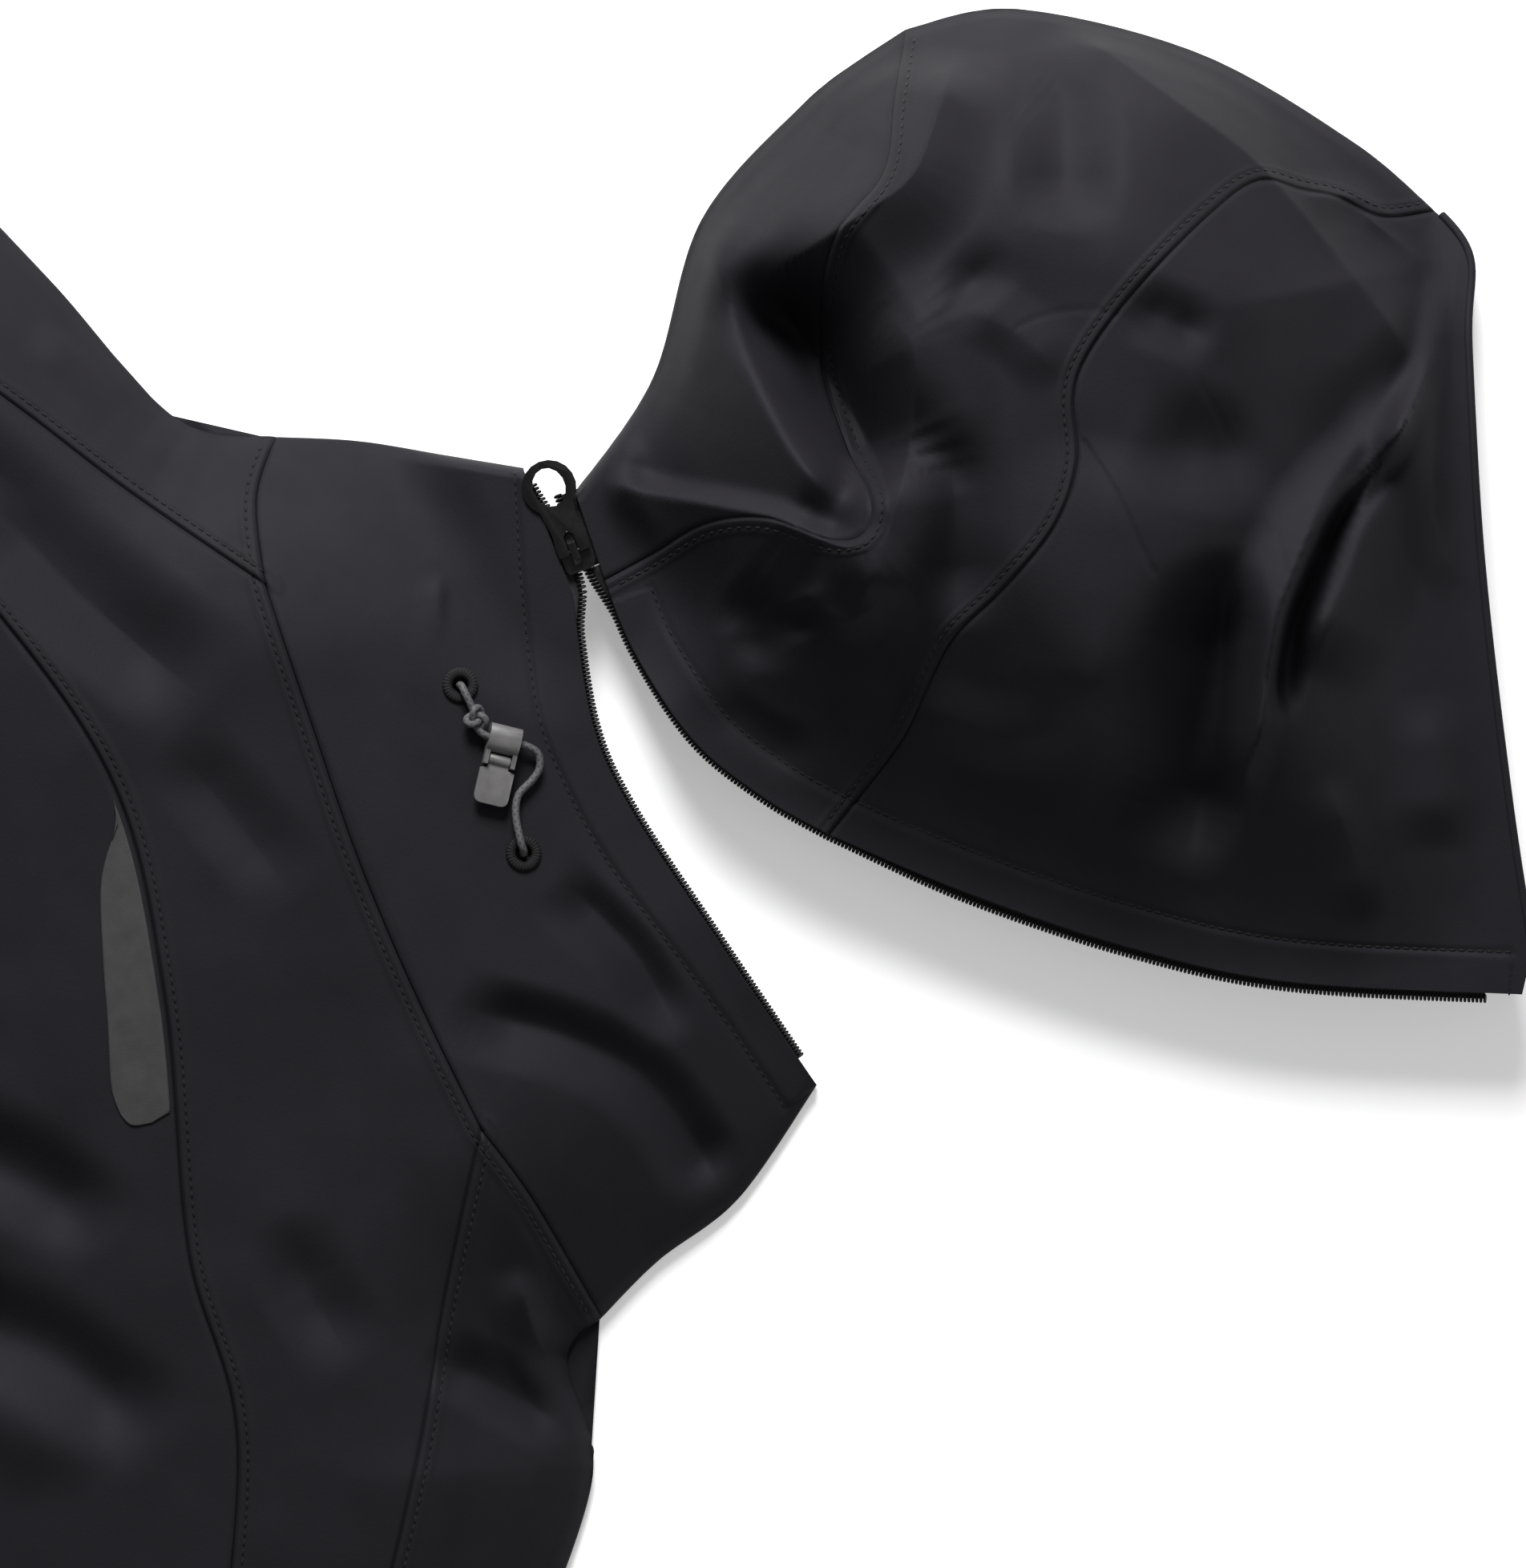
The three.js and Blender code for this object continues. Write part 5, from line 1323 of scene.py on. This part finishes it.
    @staticmethod
    def _draped(maker: Maker, frame: dict, node: str, name: str, material: bpy.types.Material, lie: Lie) -> None:
        """A finer copy of a lower panel: its points are set to the layer's own height and unevenness."""
        mesh = frame["nodes"][node].data.copy()
        mesh.name = name
        work = bmesh.new()
        work.from_mesh(mesh)
        bmesh.ops.remove_doubles(work, verts=work.verts, dist=2e-6)
        for _ in range(3):
            long = [e for e in work.edges if e.calc_length() > 0.011]
            bmesh.ops.subdivide_edges(work, edges=long, cuts=1, use_grid_fill=False)
        bmesh.ops.triangulate(work, faces=work.faces)
        work.to_mesh(mesh)
        work.free()
        co = np.empty(len(mesh.vertices) * 3)
        mesh.vertices.foreach_get("co", co)
        co = co.reshape(-1, 3) / MM - maker.origin
        top = lie.top(co[:, 0], co[:, 1])
        plain = HEIGHT.lower_top(co[:, 0], co[:, 1])
        co[:, 2] = np.where(co[:, 2] > plain - SIZE.under / 2, top, np.maximum(top - SIZE.under, 0.02))
        mesh.vertices.foreach_set("co", ((co + maker.origin) * MM).ravel())
        mesh.materials.clear()
        mesh.materials.append(material)
        mesh.polygons.foreach_set("use_smooth", np.ones(len(mesh.polygons), bool))
        obj = bpy.data.objects.new(name, mesh)
        bpy.context.scene.collection.objects.link(obj)
        maker.finish(obj, "jacket", Slot.SHELL, [node])
        area = float(sum(p.area for p in mesh.polygons)) / 2
        size = np.ptp(co[:, :2], axis=0) * MM
        min(area, float(size.prod()))


# ---------------------------------------------------------------- trims
@dataclass
class Adjuster:
    """The collar's drawcord: two sewn eyelets, elastic cord, its knot and the cord lock."""

    radius: float = 1.2
    lean_rise: float = 34 * 0.58 / 88
    eyelets: tuple[Point, Point] = ((-40.0, 45.0), (16.0, 44.0))
    lock_at: Point = (-19.0, 52.0)

    def plane(self, points: Array) -> Array:
        """From the collar's sloping plane to millimetres round the nape: turned about X, then raised."""
        lean = math.atan(self.lean_rise)
        c, s = math.cos(lean), math.sin(lean)
        x, y, z = np.moveaxis(np.asarray(points, float), -1, 0)
        base = SIZE.edge + SIZE.loft + SIZE.shell / c - 0.05
        return np.stack([x, y * c + z * s, base - y * s + z * c], -1)

    def route(self) -> Array:
        """The cord's points in the collar's plane, from the left eyelet through the lock to the right one."""
        c = math.cos(math.atan(self.lean_rise))
        (lx, ly), (rx, ry) = [(x, y / c) for x, y in self.eyelets]
        ox, oy = self.lock_at
        return np.array([
            (lx, ly, -2.9), (lx, ly, -0.6), (lx + 0.5, ly, 1.9), (lx + 3.6, ly, 3.3), (-31, 46.4, 3.3), (-26.5, 45.4, 3.4),
            (ox - 3.42, oy - 4.92, 3.6), (ox, oy, 3.6), (ox + 3.42, oy + 4.92, 3.6), (-11.5, 60.4, 3.0), (-7, 59.4, 2.6),
            (-4.2, 55.8, 2.4), (-1.4, 50, 2.4), (4, 46.8, 2.8), (rx - 4, ry, 3.3), (rx - 0.5, ry, 1.9), (rx, ry, -0.6),
            (rx, ry, -2.9)])

    def make(self, maker: Maker, frame: dict, finishes: Finishes) -> None:
        way = evenly(self.plane(spline(*self.route(), steps=8)), 0.8)
        points, faces, uv = tube(way, self.radius, 14)
        cord = maker.piece("collar_cord", points, faces, finishes.cord, "jacket", Slot.CORD, ["collar_drawcord"], uv)
        path = (way + maker.origin) * MM
        tuple(path[0])
        float(lengths(path)[-1])
        self._eyelets(maker, finishes)
        rounded_copy(maker, frame, "cord_lock_body", "cord_lock_case", finishes.lock, "jacket", Slot.LOCK, 0.55, 3)
        rounded_copy(maker, frame, "cord_lock_lever", "cord_lock_tab", finishes.lock, "lock_lever", Slot.LOCK, 0.4, 3)
        self._knot(maker, finishes)

    def _eyelets(self, maker: Maker, finishes: Finishes) -> None:
        """Each eyelet is a ring of thread: a ring whose tube swells and narrows with every turn of the thread."""
        c = math.cos(math.atan(self.lean_rise))
        round_, small = 192, 14
        a = np.linspace(0, 2 * math.pi, round_, endpoint=False)[:, None]
        b = np.linspace(0, 2 * math.pi, small, endpoint=False)[None]
        girth = 1.65 * (0.84 + 0.16 * np.abs(np.cos(15 * a)))
        k = np.arange(round_ * small).reshape(round_, small)
        faces = np.stack([k, np.roll(k, -1, 0), np.roll(np.roll(k, -1, 0), -1, 1), np.roll(k, -1, 1)], -1).reshape(-1, 4)
        for word, (x, y) in zip(("left", "right"), self.eyelets):
            far = 4.05 + girth * np.cos(b)
            ring = np.stack([x + far * np.cos(a), y / c + far * np.sin(a), 0.5 + 0.55 * girth * np.sin(b)], -1)
            maker.piece(f"{word}_sewn_eyelet", self.plane(ring).reshape(-1, 3), faces, finishes.thread, "jacket",
                        Slot.RUBBER, [f"{word}_eyelet"])

    def _knot(self, maker: Maker, finishes: Finishes) -> None:
        """An overhand knot beside the lock: a trefoil wound round the cord's own line."""
        t = np.linspace(0, 2 * math.pi, 90)
        curl = np.stack([1.1 * np.sin(t) + 2.2 * np.sin(2 * t), 1.1 * np.cos(t) - 2.2 * np.cos(2 * t), -1.05 * np.sin(3 * t)], -1)
        points, faces, uv = tube(self.plane(curl + np.array([-28.4, 46.4, 4.0])), self.radius * 0.95, 10)
        maker.piece("cord_knot", points, faces, finishes.cord, "jacket", Slot.CORD, (), uv)


@dataclass
class Trims:
    """Zips, sliders, pulls, patch, lining, loop, pockets and cuff tabs."""

    patch_lift: float = 0.5

    def make(self, maker: Maker, frame: dict, finishes: Finishes, lie: Lie) -> None:
        """Builds them all."""
        self._collar_zip(maker, finishes, lie)
        self._front_zips(maker, finishes)
        self._runners(maker, frame, finishes)
        self._patch(maker, finishes, lie)
        for node, name, material, slot in (
                ("hanger_loop", "hanger_tape", finishes.tape, Slot.TAPE),
                ("left_pocket_bag", "left_pocket_lining", finishes.lining, Slot.LINING),
                ("right_pocket_bag", "right_pocket_lining", finishes.lining, Slot.LINING)):
            rounded_copy(maker, frame, node, name, material, "jacket", slot, 0.3, 2)
        for k in SIDES:
            word = side_name(k)
            rounded_copy(maker, frame, f"{word}_cuff_tab", f"{word}_cuff_strap", finishes.rubber, f"{word}_cuff_strap",
                         Slot.RUBBER, 0.7, 3)
        drop = SIZE.shell + 1.4
        Panel("collar_lining_cloth", spline((-84, 6), (-40, 4), (0, 3), (40, 3), (84, 6)),
              spline((-50, 66), (-15, 62), (15, 63), (74, 72)), line((-84, 6), (-50, 66)), line((84, 6), (74, 72)),
              2.5, 2.0).make(maker, lambda x, y: lie.top(x, y) - drop, finishes.lining, "jacket", Slot.LINING, ["collar_lining"], 0.9)

    @staticmethod
    def _collar_zip(maker: Maker, finishes: Finishes, lie: Lie) -> None:
        """The collar's half of the hood zip, and the short closed stretch beyond the slider."""
        edge = evenly(chain(line((-90, 88), (-54, 88)), part_of(OUT.collar_edge, 0.2, 0.95, 2.0)[1:]), 2.0)
        path = np.column_stack([edge, HEIGHT.body_under(*edge.T) - SIZE.tape_drop])
        ZipHalf("collar_zip_side", path, "jacket", ("collar_zip_tape",), 3.75, 0.7, OUT.slider).make(maker, finishes)
        z = HEIGHT.shelf - SIZE.tape_drop
        closed = evenly(np.array([(OUT.slider[0] + 6.3, 98.8, z), (-84, 98.8, z)]), 2.0)
        ZipHalf("closed_zip_side", closed, "jacket", ("hood_zip_closed_end",), 3.75).make(maker, finishes)

    @staticmethod
    def _front_zips(maker: Maker, finishes: Finishes) -> None:
        """The front zip's halves and the two pocket zips, which face the ground."""
        top, bottom = SIZE.collar - 10 - SIZE.front_neck, -SIZE.length - SIZE.hem_drop + 2
        for k in SIDES:
            ends = np.array([(k * SIZE.fabric_back, bottom, SIZE.chain_z), (k * SIZE.fabric_back, top, SIZE.chain_z)])
            path = evenly(ends if k == RIGHT else ends[::-1], 4.0)
            ZipHalf(f"{side_name(k)}_front_zip_side", path, "jacket", (f"{side_name(k)}_front_zip_tape",), 3.4,
                    pitch=1.6).make(maker, finishes)
            low, high = (np.array(v) / MM - maker.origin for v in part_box(f"{side_name(k)}_pocket_zip_tape"))
            middle = (low + high) / 2
            lean = math.radians(14)
            run = np.array([k * math.sin(lean), -math.cos(lean), 0.0])
            half = 165 / 2 - 3
            for word, off in (("outer", 1), ("inner", -1)):
                shift = np.array([-run[1], run[0], 0]) * -off * SIZE.fabric_back
                a, b = middle + shift - run * half * off, middle + shift + run * half * off
                nodes = (f"{side_name(k)}_pocket_zip_tape",) if off == 1 else ()
                ZipHalf(f"{side_name(k)}_pocket_zip_{word}", evenly(np.array([a, b]), 4.0), "jacket", nodes, 3.4,
                        pitch=1.6).make(maker, finishes)

    @staticmethod
    def _runners(maker: Maker, frame: dict, finishes: Finishes) -> None:
        """Sliders and pulls, rounded over and enamelled."""
        for zip_name, body in (("hood", "hood_zip"), ("front", "front_zip"), ("left_pocket", "left_pocket_zip"),
                               ("right_pocket", "right_pocket_zip")):
            rounded_copy(maker, frame, f"{zip_name}_slider", f"{zip_name}_zip_runner", finishes.enamel, f"{body}_slider",
                         Slot.METAL, 0.22, 3)
            rounded_copy(maker, frame, f"{zip_name}_pull", f"{zip_name}_zip_puller", finishes.enamel, f"{body}_pull",
                         Slot.METAL, 0.42, 3)

    def _patch(self, maker: Maker, finishes: Finishes, lie: Lie) -> None:
        """The reflective patch under the yoke seam, narrow at its left end and round at its right."""
        seam_side = part_of(beside(OUT.yoke, -1.6), 0.42, 0.60, 2.0)
        low = spline((-39, -69), (-25, -80), (-4, -88), (18, -95), (36, -101), (45, -101.5))
        Panel("reflective_tab", low, chain(seam_side, line(seam_side[-1], (51, -93.5))), line((-39, -69), tuple(seam_side[0])),
              spline((45, -101.5), (49.5, -99.5), (51, -93.5)), 1.2, 0.6).make(
            maker, lambda x, y: lie.top(x, y) + self.patch_lift, finishes.film, "jacket", Slot.REFLECTIVE,
            ["reflective_patch"], 0.6)


# ---------------------------------------------------------------- studio
@dataclass
class Studio:
    """Camera, lights and floor."""

    right: Point = (0.37, 0.93)
    middle: Point = (23.5, 121.3)
    tall: float = 489.0
    plane: float = 25.0
    lens: float = 150.0

    def camera(self, origin: Array) -> None:
        """A camera that looks straight down, turned so that the hood lies to the upper right."""
        data = bpy.data.cameras.new("camera")
        data.lens, data.sensor_width = self.lens, 36.0
        data.clip_start, data.clip_end = 0.05, 50
        obj = bpy.data.objects.new("camera", data)
        bpy.context.scene.collection.objects.link(obj)
        long = math.hypot(*self.right)
        right = np.array([self.right[0] / long, self.right[1] / long, 0])
        up = np.array([-right[1], right[0], 0])
        far = self.tall / 2 / (18.0 / self.lens) + self.plane
        place = (np.array([*self.middle, 0]) + origin) * MM + np.array([0, 0, far * MM])
        turn = Matrix(np.column_stack([right, up, [0, 0, 1]]).tolist()).to_4x4()
        turn.translation = place
        obj.matrix_world = turn
        bpy.context.scene.camera = obj

    def lamp(self, name: str, place: tuple[float, float, float], size: float, power: float, target: tuple) -> None:
        """A soft square lamp aimed at a point."""
        data = bpy.data.lights.new(name, "AREA")
        data.shape, data.size, data.energy = "SQUARE", size, power
        obj = bpy.data.objects.new(name, data)
        bpy.context.scene.collection.objects.link(obj)
        away = np.array(place) - np.array(target)
        away = away / np.linalg.norm(away)
        side = np.cross([0.0, 1.0, 0.001], away)
        side /= np.linalg.norm(side)
        turn = Matrix(np.column_stack([side, np.cross(away, side), away]).tolist()).to_4x4()
        turn.translation = place
        obj.matrix_world = turn

    def make(self) -> None:
        """Lights the scene and lays the floor."""
        self.lamp("key", (-1.75, 0.8, 1.2), 0.9, 92, (0, 0.25, 0))
        self.lamp("fill", (1.5, 1.4, 2.2), 2.0, 7, (0, 0.2, 0))
        bpy.context.scene.view_settings.view_transform = "Standard"
        world = bpy.data.worlds.new("studio")
        world.use_nodes = True
        world.node_tree.nodes["Background"].inputs[0].default_value = (1.0, 1.0, 1.0, 1)
        world.node_tree.nodes["Background"].inputs[1].default_value = 0.24
        bpy.context.scene.world = world
        mesh = bpy.data.meshes.new("floor")
        mesh.from_pydata([(-30, -30, -0.0004), (30, -30, -0.0004), (30, 30, -0.0004), (-30, 30, -0.0004)], [], [(0, 1, 2, 3)])
        floor = bpy.data.objects.new("floor", mesh)
        bpy.context.scene.collection.objects.link(floor)
        board = Board("pale_floor")
        board.tint(board.noise(3, 3), (0.9, 0.9, 0.9), (0.93, 0.93, 0.93))
        board.rough(board.noise(20, 2), 0.8, 0.9)
        board.shader.inputs["Emission Color"].default_value = (1, 1, 1, 1)
        board.shader.inputs["Emission Strength"].default_value = 0.3
        mesh.materials.append(board.material)


def main() -> None:
    """Builds the jacket around the frame, one sub-assembly after the other."""
    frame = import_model()
    maker = Maker(nape())
    studio = Studio()
    studio.camera(maker.origin)
    finishes = Finishes()
    Adjuster().make(maker, frame, finishes)
    lie = Body().make(maker, frame, finishes)
    Hood().make(maker, finishes)
    Trims().make(maker, frame, finishes, lie)
    studio.make()
    bpy.context.view_layer.update()
    log.info("%d pieces", len(maker.made))


if __name__ == "__main__":
    main()
